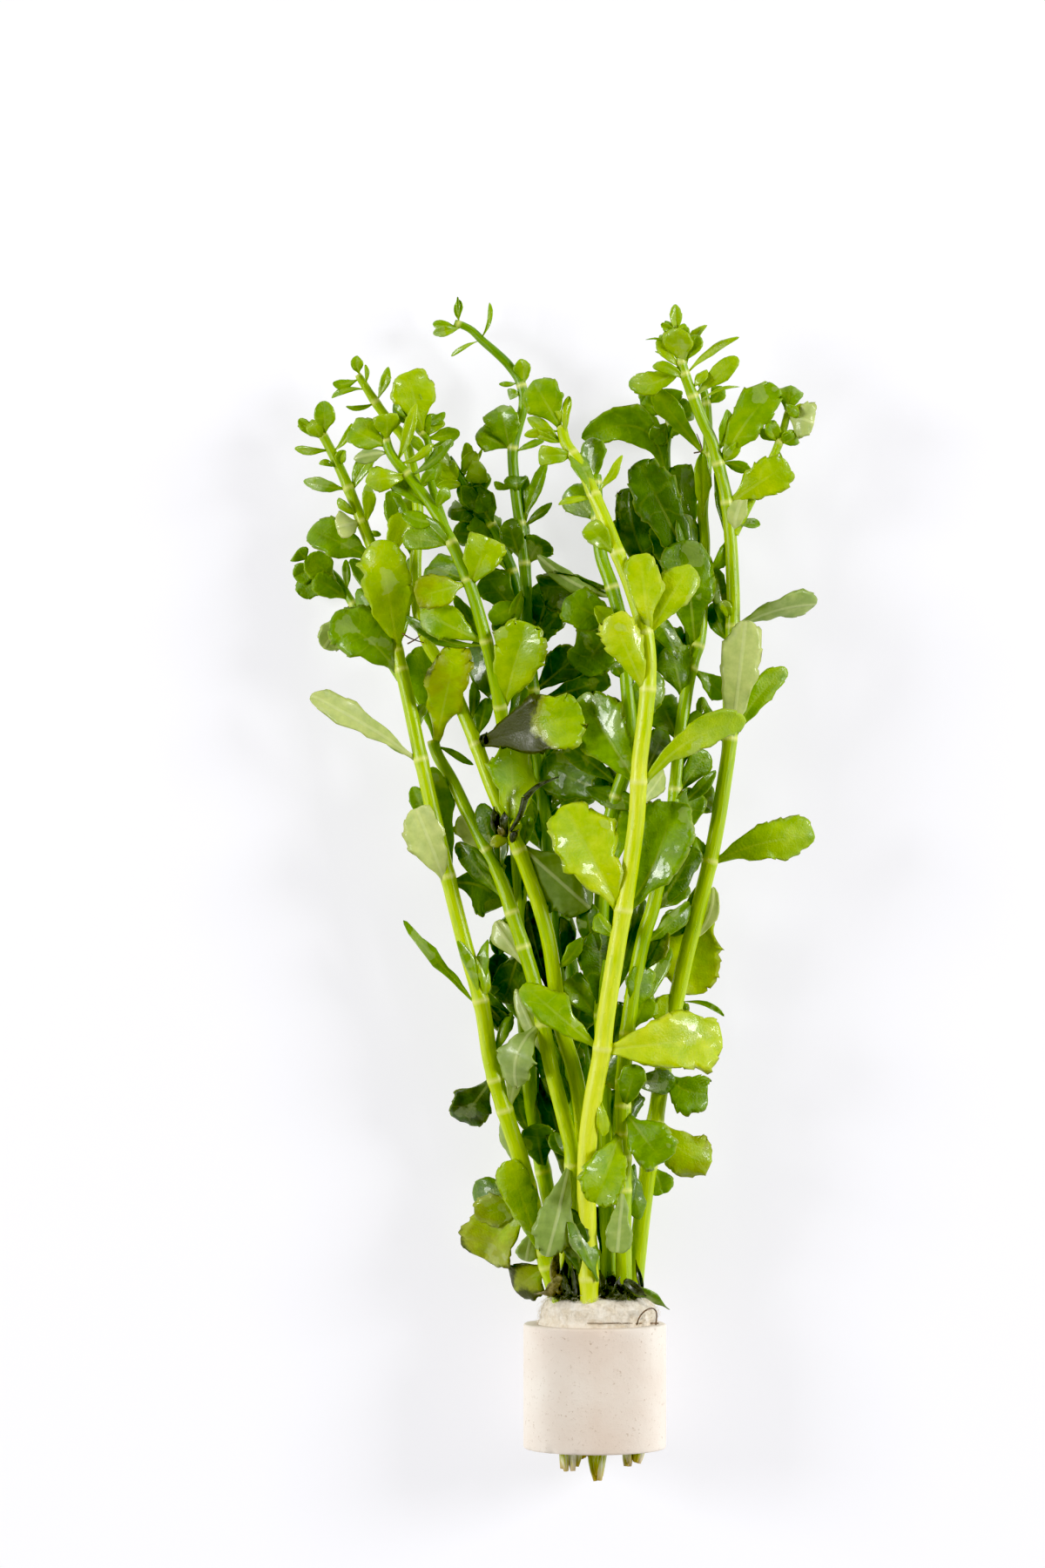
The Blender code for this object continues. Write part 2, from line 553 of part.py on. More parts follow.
def make_plug(collection, material, channels):
    """The wool plug: pressed into the ring, standing proud of it, with a channel for each stem."""
    rim = (RING_FOOT_ROW - RING_TOP_ROW) * PIXEL + GAP
    top = (RING_FOOT_ROW - PLUG_TOP_ROW) * PIXEL
    r = PLUG_ROUNDING
    profile = [(0, top), (PLUG_RADIUS_PROUD - r, top), (PLUG_RADIUS_PROUD, top - r),
               (PLUG_RADIUS_PROUD, rim + r / 2), (PLUG_RADIUS_IN_RING, rim),
               (PLUG_RADIUS_IN_RING, PLUG_FOOT_RECESS), (0, PLUG_FOOT_RECESS)]
    plug = turned_piece("wool_plug", profile, PLUG_SIDES, collection, material)
    for channel in channels:
        boolean(plug, channel, "DIFFERENCE")
    return plug


def tree_of(piece):
    """A search tree of a piece's finished surface."""
    graph = bpy.context.evaluated_depsgraph_get()
    mesh = bpy.data.meshes.new_from_object(piece.evaluated_get(graph))
    mesh.transform(piece.matrix_world)
    points = [point.co.copy() for point in mesh.vertices]
    faces = [tuple(face.vertices) for face in mesh.polygons]
    bpy.data.meshes.remove(mesh)
    return BVHTree.FromPolygons(points, faces)


def place_leaf(path, row, tip_column, tip_row, width, rise, roll, arch, sway, rows, apart, obstacles):
    """The grid of one leaf, from its base on a stem to its tip, where it finds room."""
    axis, radius = on_stem(path, row)
    growing = direction_at(path, axis)
    stand_off = radius + LEAF_THICKNESS + GAP + 0.5 * width * PETIOLE_SHARE * PIXEL if apart else 0

    def make_grid(extra_rise, narrowing):
        tip = at(tip_column, tip_row, axis.z / MM + rise + extra_rise)
        outward = tip - axis
        outward = (outward - growing * outward.dot(growing)).normalized()
        start = axis + outward * stand_off
        return leaf_grid(start, tip, width * narrowing, roll, arch, sway, rows)

    return find_room(make_grid, obstacles)


def clear_scene():
    """Remove what the file starts with."""
    for piece in list(bpy.data.objects):
        bpy.data.objects.remove(piece)


def centre_on_surface(pieces, cutters):
    """Move the whole bunch so that the middle of its underside is at the origin."""
    bpy.context.view_layer.update()
    graph = bpy.context.evaluated_depsgraph_get()
    points = []
    for piece in pieces:
        mesh = bpy.data.meshes.new_from_object(piece.evaluated_get(graph))
        points += [piece.matrix_world @ point.co for point in mesh.vertices]
        bpy.data.meshes.remove(mesh)
    low = Vector(min(point[i] for point in points) for i in range(3))
    high = Vector(max(point[i] for point in points) for i in range(3))
    anchor = bpy.data.objects.new("bunch", None)
    bpy.context.scene.collection.objects.link(anchor)
    for piece in [*pieces, *cutters]:
        piece.parent = anchor
    anchor.location = (-(low.x + high.x) / 2, -(low.y + high.y) / 2, -low.z)
    bpy.context.view_layer.update()
    print("size in mm", [round((high[i] - low[i]) / MM, 1) for i in range(3)])


def main():
    """Build the ring, the plug, the stems and shoots, and then the leaves."""
    clear_scene()
    bunch = bpy.data.collections.new("water_hyssop")
    cutters = bpy.data.collections.new("cutters")
    bpy.context.scene.collection.children.link(bunch)
    bpy.context.scene.collection.children.link(cutters)

    ceramic = plain_material("unglazed ceramic", (0.72, 0.64, 0.56), 0.85)
    wool = plain_material("mineral wool", (0.70, 0.63, 0.50), 0.95)
    stem_green = plain_material("stem green", (0.36, 0.52, 0.03), 0.35)
    leaf_green = plain_material("leaf green", (0.16, 0.34, 0.02), 0.30)

    paths = {name: stem_path(stem) for name, stem in STEMS.items()}
    channels = []
    for name, (points, radii) in paths.items():
        channel = add_object(name + "_channel", tube_mesh(name, points, radii, STEM_CHANNEL_GAP), cutters)
        channel.hide_render = True
        channel.display_type = "WIRE"
        channels.append(channel)
    for name, shoot in SHOOTS.items():
        paths[name] = shoot_path(shoot, paths)

    ring = make_ring(bunch, ceramic)
    plug = make_plug(bunch, wool, channels)
    stems = {}
    for name, (points, radii) in paths.items():
        stems[name] = add_object(name, tube_mesh(name, points, radii), bunch, stem_green)

    bpy.context.view_layer.update()
    trees = {piece.name: [tree_of(piece)] for piece in (ring, plug, *stems.values())}

    leaves = []
    for name, (stem, *numbers) in LARGE_LEAVES.items():
        obstacles = [tree for group in trees.values() for tree in group]
        grid, step, narrowing = place_leaf(paths[stem], *numbers, LARGE_LEAF_ROWS, True, obstacles)
        if grid is None:
            print("no room for", name)
            continue
        if step or narrowing < 1:
            print(name, "moved", step * LIFT_STEP_MM, "mm, width", narrowing)
        leaf = add_object(name, leaf_mesh(name, grid), bunch, leaf_green)
        thicken(leaf)
        leaves.append(leaf)
        trees[name] = [sheets(grid, (-LEAF_THICKNESS / 2, 0, LEAF_THICKNESS / 2))]

    for stem, rows in GROWN_LEAVES.items():
        for number, (row, tip_column, tip_row, width, rise, arch, sway) in enumerate(rows, 1):
            obstacles = [tree for owner, group in trees.items() if owner != stem for tree in group]
            leaf_rows = 3 if width >= BROAD_LEAF_COLUMNS else 2
            grid, step, narrowing = place_leaf(paths[stem], row, tip_column, tip_row, width, rise, 0,
                                               arch, sway, leaf_rows, False, obstacles)
            if grid is None:
                print("no room for", stem, number)
                continue
            if step or narrowing < 1:
                print(stem, number, "moved", step * LIFT_STEP_MM, "mm, width", narrowing)
            grown = add_object(f"{stem}_leaf_{number}", leaf_mesh(stem, grid), cutters)
            grown.hide_render = True
            grown.display_type = "WIRE"
            thicken(grown)
            boolean(stems[stem], grown, "UNION")
            trees[stem].append(sheets(grid, (-LEAF_THICKNESS / 2, 0, LEAF_THICKNESS / 2)))

    centre_on_surface([ring, plug, *stems.values(), *leaves], cutters.objects)


main()
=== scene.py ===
# %% [markdown]
# # A bunch of water hyssop
# The real object is a bunch of water plants as an aquarium shop sells it. Ten leafy stems run
# through a plug of wool, and a short unglazed ceramic ring holds the plug. It lies on a white
# surface and is seen from straight above. The solids of the ring, plug, stems and leaves are
# loaded first as a fixed frame, and every piece made here lies where its solid lies.

# %% Load the frame
import json
import math

import bmesh
import bpy
import numpy as np
from mathutils import Matrix, Vector, noise

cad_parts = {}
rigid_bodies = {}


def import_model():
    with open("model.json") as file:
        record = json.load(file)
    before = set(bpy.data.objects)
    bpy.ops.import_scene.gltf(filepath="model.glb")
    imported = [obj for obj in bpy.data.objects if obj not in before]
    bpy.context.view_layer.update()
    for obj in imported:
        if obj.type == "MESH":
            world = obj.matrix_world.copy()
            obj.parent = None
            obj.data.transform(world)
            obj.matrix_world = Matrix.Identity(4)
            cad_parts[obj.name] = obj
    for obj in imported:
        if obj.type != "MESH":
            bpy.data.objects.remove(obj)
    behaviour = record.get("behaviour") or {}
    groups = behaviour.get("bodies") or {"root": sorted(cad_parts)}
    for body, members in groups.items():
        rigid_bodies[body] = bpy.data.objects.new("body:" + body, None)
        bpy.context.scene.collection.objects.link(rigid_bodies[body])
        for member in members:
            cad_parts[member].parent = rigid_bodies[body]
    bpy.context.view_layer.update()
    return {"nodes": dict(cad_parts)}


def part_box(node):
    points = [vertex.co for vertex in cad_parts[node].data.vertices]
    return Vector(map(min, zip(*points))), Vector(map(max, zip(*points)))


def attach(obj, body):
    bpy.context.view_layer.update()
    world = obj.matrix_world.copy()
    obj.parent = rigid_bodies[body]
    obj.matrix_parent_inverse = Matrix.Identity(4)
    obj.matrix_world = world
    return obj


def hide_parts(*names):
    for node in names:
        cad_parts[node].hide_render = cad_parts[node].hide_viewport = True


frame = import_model()

# %% [markdown]
# ## Three small helpers
# Colours are written as they look on a screen, as hex values, and Blender's shaders want linear
# light, so one function turns the first into the second. A second one adds a node to any node
# tree, with its settings, its values and its links. The third finds an output by its name,
# because a node can hold hidden sockets of the same name.

# %% Helpers for colours and nodes
MM = 0.001


def linear(code):
    """An sRGB hex colour as linear RGBA."""
    parts = [int(code[i:i + 2], 16) / 255 for i in (1, 3, 5)]
    return (*[p / 12.92 if p <= 0.04045 else ((p + 0.055) / 1.055) ** 2.4 for p in parts], 1.0)


def add_node(tree, kind, inputs=None, **settings):
    """A node with its settings. inputs maps a socket's name or number to a value or an output."""
    node = tree.nodes.new(kind)
    for name, value in settings.items():
        setattr(node, name, value)
    for key, value in (inputs or {}).items():
        if isinstance(key, int):
            socket = node.inputs[key]
        else:
            socket = next(s for s in node.inputs if s.name == key and s.enabled)
        if isinstance(value, bpy.types.NodeSocket):
            tree.links.new(value, socket)
        else:
            socket.default_value = value
    return node


def out(node, name):
    """The output of a node that has this name and is in use."""
    return next(s for s in node.outputs if s.name == name and s.enabled)


print("mid leaf green, linear:", [round(x, 3) for x in linear("#6D8902")])

# %% [markdown]
# ## The view
# The camera looks straight down, as the one that took the picture did. The ring is the ruler:
# it is 25 mm wide and covers 164 of the picture's 1200 columns. With the height of the eye this
# gives the lens, and it lets any column and row be turned into a point at a chosen height.
# That is how the places of stems and leaves are given further down.

# %% Camera, placed by the ring
COLUMNS = 1200
ROWS = 1800
EYE_HEIGHT = 1.086
RING_DIAMETER = 0.025
RING_COLUMN = 683
RING_COLUMNS_WIDE = 164
RING_TOP_ROW = 1519
RING_FOOT_ROW = 1662
PLUG_TOP_ROW = 1492
AXIS_HEIGHT = RING_DIAMETER / 2
PIXEL = RING_DIAMETER / RING_COLUMNS_WIDE
FILM_LONG_SIDE = 36.0

ring_low, ring_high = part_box("ceramic_ring")
ring_axis_x = (ring_low.x + ring_high.x) / 2
VIEW_X = ring_axis_x - (RING_COLUMN - COLUMNS / 2) * PIXEL
VIEW_Y = ring_low.y - (ROWS / 2 - RING_FOOT_ROW) * PIXEL


def at(column, row, height_mm):
    """The point at a height above the surface that the picture shows at a column and row."""
    height = height_mm * MM
    scale = PIXEL * (EYE_HEIGHT - height) / (EYE_HEIGHT - AXIS_HEIGHT)
    return Vector((VIEW_X + (column - COLUMNS / 2) * scale, VIEW_Y + (ROWS / 2 - row) * scale, height))


def row_of(point):
    """The picture's row at which a point shows."""
    scale = PIXEL * (EYE_HEIGHT - point.z) / (EYE_HEIGHT - AXIS_HEIGHT)
    return ROWS / 2 - (point.y - VIEW_Y) / scale


camera_data = bpy.data.cameras.new("straight_down")
camera_data.sensor_width = FILM_LONG_SIDE
camera_data.lens = FILM_LONG_SIDE * (EYE_HEIGHT - AXIS_HEIGHT) / (ROWS * PIXEL)
camera = bpy.data.objects.new("straight_down", camera_data)
camera.location = (VIEW_X, VIEW_Y, EYE_HEIGHT)
bpy.context.scene.collection.objects.link(camera)
bpy.context.scene.camera = camera
print("lens in mm:", round(camera_data.lens, 1))

# %% [markdown]
# ## Where the stems run
# Each stem is a smooth line through a few places, from its crown down to the plug. A curve
# object would do, but plain points can be asked where the stem is at a given row, which every
# leaf needs to know. So the line is worked out here, evenly spaced, and becomes a tube later.

# %% The stems' routes
# route: (column, row, height in mm); radii: thinnest and thickest in mm;
# seat: (angle in degrees, radius in mm) about the ring's axis; cut_row: where the cut end stops;
# tone: from 0, dark green, to 1, bright yellow-green; stem_05, stem_06 and stem_07 lie under other
# stems, and their dark tones are partly their own colour and partly painted shade
STEMS = {
    "stem_01": {
        "route": [(361, 483, 8), (371, 500, 8), (388, 533, 8.5), (402, 565, 9), (417, 603, 9.5),
                  (436, 655, 10.5), (455, 744, 12), (466, 790, 13), (484, 874, 14), (499, 940, 14.5),
                  (516, 1013, 15), (534, 1085, 15), (553, 1153, 15), (564, 1220, 14.8), (582, 1282, 14),
                  (602, 1345, 12.8), (622, 1430, 11.4)],
        "radii": (0.55, 1.5), "seat": (196, 7.2), "cut_row": 1672, "tone": 0.75},
    "stem_02": {
        "route": [(497, 850, 9), (503, 868, 9.5), (520, 898, 11), (538, 936, 13), (558, 975, 15),
                  (576, 1013, 16.4), (589, 1051, 17.3), (602, 1090, 17.5), (614, 1130, 17.6),
                  (624, 1179, 17.6), (634, 1230, 17.5), (648, 1285, 17.3), (657, 1330, 17.2),
                  (654, 1400, 16.8)],
        "radii": (0.9, 1.35), "seat": (147, 7.2), "cut_row": 1691, "tone": 0.7},
    "stem_03": {
        "route": [(411, 430, 9), (430, 460, 9), (446, 482, 9), (464, 503, 9), (472, 530, 9.5),
                  (478, 560, 10.5), (480, 600, 11), (477, 650, 11.5), (480, 700, 12), (492, 740, 12.2),
                  (512, 772, 12.5), (532, 818, 13.5), (547, 855, 15), (565, 904, 17.5), (590, 962, 19),
                  (601, 988, 19), (619, 1039, 18.6), (632, 1090, 18), (643, 1173, 16.3),
                  (658, 1224, 14.8), (668, 1280, 13.7), (670, 1350, 13.4)],
        "radii": (0.5, 1.45), "seat": (150, 2.75), "cut_row": 1677, "tone": 0.75},
    "stem_04": {
        "route": [(440, 488, 16), (445, 512, 16.5), (455, 530, 17), (480, 560, 17.5), (500, 588, 18.5),
                  (519, 624, 19.5), (538, 668, 20), (552, 712, 20), (565, 764, 19), (574, 810, 17),
                  (580, 850, 14.5), (583, 870, 13.5), (590, 925, 11.5), (594, 980, 11),
                  (597, 1040, 10.8), (600, 1135, 10.3), (606, 1210, 9.5), (614, 1290, 8.2),
                  (636, 1400, 7)],
        "radii": (0.6, 1.4), "seat": (245, 7.2), "cut_row": 1670, "tone": 0.55},
    "stem_05": {
        "route": [(515, 525, 3.5), (530, 550, 3), (548, 578, 2.5), (570, 612, 2.2), (588, 655, 2),
                  (598, 700, 1.8), (606, 760, 1.7), (622, 880, 1.7), (640, 1000, 2.2), (662, 1150, 3.2),
                  (685, 1300, 4.6), (697, 1400, 5.5)],
        "radii": (0.55, 1.3), "seat": (294, 7.2), "cut_row": 1668, "tone": 0.2},
    "stem_06": {
        "route": [(522, 370, 6), (540, 378, 6), (555, 392, 6.5), (570, 405, 7), (585, 420, 7),
                  (598, 440, 7.5), (601, 465, 8), (595, 490, 8), (589, 515, 8), (590, 545, 8),
                  (594, 580, 8), (600, 620, 8), (604, 670, 8), (605, 720, 8), (611, 780, 8),
                  (618, 860, 8), (630, 980, 8.2), (640, 1100, 8.6), (655, 1250, 9.2), (672, 1380, 9.6)],
        "radii": (0.45, 1.35), "seat": (270, 2.75), "cut_row": 1669, "tone": 0.3},
    "stem_07": {
        "route": [(684, 545, 14), (686, 590, 14.5), (690, 636, 15), (702, 672, 16), (711, 706, 16.6),
                  (717, 750, 17), (721, 795, 17.3), (724, 841, 17.3), (719, 880, 17), (707, 918, 16.5),
                  (697, 960, 16), (692, 1010, 15.5), (690, 1100, 15), (692, 1200, 14.6),
                  (695, 1330, 14.2)],
        "radii": (0.9, 1.4), "seat": (30, 2.75), "cut_row": 1702, "tone": 0.45},
    "stem_08": {
        "route": [(645, 490, 19), (649, 507, 20), (660, 525, 21), (672, 545, 22), (682, 568, 23),
                  (697, 603, 24.5), (710, 637, 25.5), (722, 667, 26), (733, 700, 26.5), (742, 730, 27),
                  (745, 760, 27), (744, 790, 27), (740, 830, 27), (735, 870, 26.8), (733, 905, 26.5),
                  (730, 950, 26), (719, 1026, 25.2), (708, 1090, 24.4), (696, 1166, 23.5),
                  (691, 1209, 22.8), (681, 1262, 22), (674, 1325, 21), (674, 1400, 20.2)],
        "radii": (0.75, 1.65), "seat": (98, 7.2), "cut_row": 1671, "tone": 1},
    "stem_09": {
        "route": [(803, 432, 8), (811, 462, 8), (813, 500, 8), (811, 545, 8.5), (807, 585, 9.5),
                  (809, 625, 11), (807, 680, 12), (804, 730, 13), (794, 766, 14), (786, 810, 15),
                  (779, 870, 16.5), (772, 935, 18), (752, 1033, 18.4), (739, 1077, 18.5),
                  (725, 1150, 18.4), (716, 1240, 18.2), (716, 1340, 18), (716, 1420, 17.8)],
        "radii": (0.5, 1.4), "seat": (45, 7.2), "cut_row": 1670, "tone": 0.6},
    "stem_10": {
        "route": [(778, 388, 15), (783, 418, 15), (790, 440, 14.8), (797, 458, 14.6), (806, 482, 14.4),
                  (817, 505, 14.2), (825, 533, 14), (834, 572, 14), (839, 620, 14), (842, 688, 14),
                  (841, 730, 14.2), (838, 790, 14.5), (838, 848, 14.8), (832, 895, 15), (824, 945, 15),
                  (815, 990, 15), (800, 1050, 14.8), (785, 1110, 14.4), (768, 1190, 13.7),
                  (752, 1290, 12.5), (738, 1390, 11.5)],
        "radii": (0.6, 1.5), "seat": (343, 7.2), "cut_row": 1684, "tone": 0.7},
}

# Side shoots: they end in the stem and at the row that joins names
SHOOTS = {
    "shoot_01": {
        "route": [(352, 644, 3), (372, 652, 3), (388, 665, 3.5), (403, 690, 4.5), (425, 722, 7),
                  (443, 752, 10)],
        "radii": (0.5, 0.8), "joins": ("stem_01", 776), "tone": 0.4},
    "shoot_02": {
        "route": [(475, 455, 12), (478, 488, 12.5), (491, 505, 13), (492, 530, 13.5), (495, 555, 15)],
        "radii": (0.45, 0.7), "joins": ("stem_04", 604), "tone": 0.4},
    "shoot_03": {
        "route": [(760, 455, 2.5), (769, 485, 2.5), (765, 515, 2.5), (767, 560, 3), (777, 640, 5),
                  (788, 700, 9)],
        "radii": (0.5, 0.9), "joins": ("stem_09", 752), "tone": 0.3},
    "shoot_04": {
        "route": [(905, 472, 14), (899, 495, 14), (892, 515, 14), (878, 545, 14), (862, 575, 14)],
        "radii": (0.5, 0.8), "joins": ("stem_10", 612), "tone": 0.6},
}

print("stems:", len(STEMS), "side shoots:", len(SHOOTS))

# %% Smooth, evenly spaced lines
LINE_SPACING = 0.0007
TAPER_POWER = 0.38
PLUMPER = 1.06
SHOOT_END_SHARE = 0.6


def smooth_line(points, spacing):
    """Evenly spaced points along a smooth curve through the given ones."""
    fine = []
    padded = [points[0]] + points + [points[-1]]
    steps = 10
    for before, start, end, after in zip(padded, padded[1:], padded[2:], padded[3:]):
        for step in range(steps):
            t = step / steps
            fine.append(0.5 * (2 * start + (end - before) * t
                               + (2 * before - 5 * start + 4 * end - after) * t * t
                               + (3 * start - before - 3 * end + after) * t ** 3))
    fine.append(points[-1])
    places = np.array(fine)
    travelled = np.concatenate([[0], np.cumsum(np.linalg.norm(np.diff(places, axis=0), axis=1))])
    count = max(4, round(travelled[-1] / spacing))
    wanted = np.linspace(0, travelled[-1], count + 1)
    return [Vector(p) for p in np.stack([np.interp(wanted, travelled, places[:, i]) for i in range(3)], 1)]


def with_taper(points, thin_mm, thick_mm):
    """A line's points with a radius at each, growing from the crown downwards."""
    last = len(points) - 1
    return points, [MM * PLUMPER * (thin_mm + (thick_mm - thin_mm) * (i / last) ** TAPER_POWER)
                    for i in range(last + 1)]


def on_line(line, row):
    """The place, radius and direction of growth of a stem at a row."""
    points, radii = line
    rows = np.array([row_of(point) for point in points])
    nearest = int(np.argmin(np.abs(rows - row)))
    i = min(max(nearest, 2), len(points) - 3)
    return points[nearest], radii[nearest], (points[i - 2] - points[i + 2]).normalized()


lines = {}
for name, stem in STEMS.items():
    angle, distance = stem["seat"]
    column = RING_COLUMN + distance * math.cos(math.radians(angle)) * MM / PIXEL
    height = AXIS_HEIGHT / MM + distance * math.sin(math.radians(angle))
    places = [at(*place) for place in stem["route"]]
    places += [at(column, row, height) for row in (PLUG_TOP_ROW - 8, RING_TOP_ROW, stem["cut_row"])]
    lines[name] = with_taper(smooth_line(places, LINE_SPACING), *stem["radii"])
for name, shoot in SHOOTS.items():
    stem, row = shoot["joins"]
    axis, radius, growing = on_line(lines[stem], row)
    places = [at(*place) for place in shoot["route"]]
    beside = places[-1] - axis
    beside = (beside - growing * beside.dot(growing)).normalized()
    places.append(axis + beside * radius * SHOOT_END_SHARE)
    lines[name] = with_taper(smooth_line(places, LINE_SPACING), *shoot["radii"])
longest = max(lines, key=lambda name: len(lines[name][0]))
print("longest:", longest, round(len(lines[longest][0]) * LINE_SPACING / MM), "mm")

# %% [markdown]
# ## Where the leaves sit
# Water hyssop has its leaves in pairs, at joints along the stem, and in a small crown at the
# tip. Each leaf is one row of a table: the row where it leaves its stem, the column and row of
# its tip, and its width. The heights of the tips come from the solids, so that every leaf made
# here lies on its solid one.

# %% Leaf tables
# Low tones on leaves deep in the bunch are partly their own colour and partly painted shade.
# Leaves that have a solid of their own. stem, base row, tip column, tip row, width in columns,
# roll in degrees, arch in mm, sway in columns, tone, decay
LARGE_LEAVES = {
    "leaf_01": ("stem_08", 1046, 648, 924, 72, 8, 2, 0, 0.8, 0),
    "leaf_02": ("stem_08", 1046, 772, 920, 68, -8, 2, 8, 0.42, 0),
    "leaf_03": ("stem_08", 897, 668, 798, 62, 0, 1, 0, 0.46, 0),
    "leaf_04": ("stem_08", 903, 857, 828, 38, 15, 3, -16, 0.72, 0),
    "leaf_05": ("stem_08", 1203, 829, 1190, 74, 0, 2, 0, 0.85, 0),
    "leaf_06": ("stem_08", 1204, 600, 1130, 38, 0, 1.5, 0, 0.58, 0),
    "leaf_07": ("stem_08", 791, 702, 706, 50, 0, 1, 0, 0.84, 0),
    "leaf_08": ("stem_08", 728, 735, 636, 40, 10, 1, 0, 0.76, 0),
    "leaf_09": ("stem_08", 727, 793, 648, 42, 0, 1, 0, 0.74, 0),
    "leaf_10": ("stem_08", 636, 674, 602, 29, 0, 1, 0, 0.63, 0),
    "leaf_11": ("stem_08", 492, 612, 437, 44, 0, 1, 0, 0.5, 0),
    "leaf_12": ("stem_08", 522, 618, 523, 28, 0, 1, 0, 0.68, 0),
    "leaf_13": ("stem_09", 1300, 683, 1380, 54, 0, 2, 0, 0.62, 0),
    "leaf_14": ("stem_09", 1277, 762, 1335, 52, 0, 2, 0, 0.45, 0),
    "leaf_15": ("stem_09", 1268, 730, 1222, 36, 0, 1, 0, 0.45, 0),
    "leaf_16": ("stem_10", 1288, 818, 1333, 58, 0, 1, 10, 0.74, 0.3),
    "leaf_17": ("stem_10", 1235, 812, 1256, 50, 0, 1, 6, 0.45, 0),
    "leaf_18": ("stem_02", 1336, 628, 1443, 46, 0, 2, 0, -0.4, 0),
    "leaf_19": ("stem_01", 1436, 585, 1332, 42, 0, 1, 0, 0.62, 0),
    "leaf_20": ("stem_01", 1385, 556, 1445, 66, 0, 1, 6, 0.74, 0.35),
    "leaf_21": ("stem_01", 1452, 590, 1480, 54, 0, 1, 0, 0.62, 0.65),
    "leaf_22": ("stem_08", 1466, 652, 1388, 34, 0, 1, 0, 0.15, 0),
    "leaf_23": ("stem_09", 1366, 709, 1438, 31, 0, 1, 0, -0.5, 0),
    # leaf_24 shows its pale underside in place of a broad sheen on its upper side: a painted sheen.
    "leaf_24": ("stem_10", 846, 857, 712, 48, 0, 2, 0, -0.84, 0),
    "leaf_25": ("stem_10", 846, 904, 768, 28, 0, 1, -8, 0.54, 0),
    "leaf_26": ("stem_10", 990, 936, 961, 54, 0, 2, -8, 0.62, 0),
    "leaf_27": ("stem_10", 1002, 800, 1142, 66, 0, 0, 12, 0.76, 0.25),
    "leaf_28": ("stem_10", 533, 892, 443, 46, 0, 1, -4, 0.56, 0),
    "leaf_29": ("stem_10", 718, 938, 693, 30, 40, 2, -6, -0.54, 0),
    "leaf_30": ("stem_10", 575, 905, 532, 46, 0, 1, 0, 0.72, 0),
    "leaf_31": ("shoot_04", 473, 908, 442, 36, 0, 1, 0, 0.58, 0),
    "leaf_32": ("shoot_04", 476, 935, 486, 44, 0, 1, 0, -0.78, 0),
    "leaf_33": ("stem_09", 668, 733, 530, 52, 0, 1, 0, 0.26, 0),
    "leaf_34": ("stem_09", 742, 786, 620, 62, 0, 1, 0, 0.36, 0),
    "leaf_35": ("stem_10", 420, 722, 438, 30, 0, 1, -10, 0.56, 0),
    "leaf_36": ("stem_04", 812, 604, 714, 62, 0, 1, 0, 0.7, 0),
    "leaf_37": ("stem_03", 855, 669, 820, 68, 0, 3, 0, 0.66, -1.6),
    "leaf_38": ("stem_04", 668, 561, 617, 46, 0, 1, 0, 0.66, 0),
    "leaf_39": ("stem_04", 669, 477, 685, 40, 0, 1, 0, 0.72, 0.3),
    "leaf_40": ("stem_04", 737, 483, 703, 42, 0, 2, 0, 0.59, 0),
    "leaf_41": ("stem_01", 745, 436, 620, 62, 0, 1, 0, 0.72, 0),
    "leaf_42": ("stem_01", 870, 357, 798, 30, 0, 2, 4, -0.84, 0),
    "leaf_43": ("stem_01", 1012, 478, 928, 47, 0, 1, 0, -0.9, 0),
    "leaf_44": ("stem_01", 1013, 577, 1040, 66, 0, 1, -10, 0.32, 0),
}

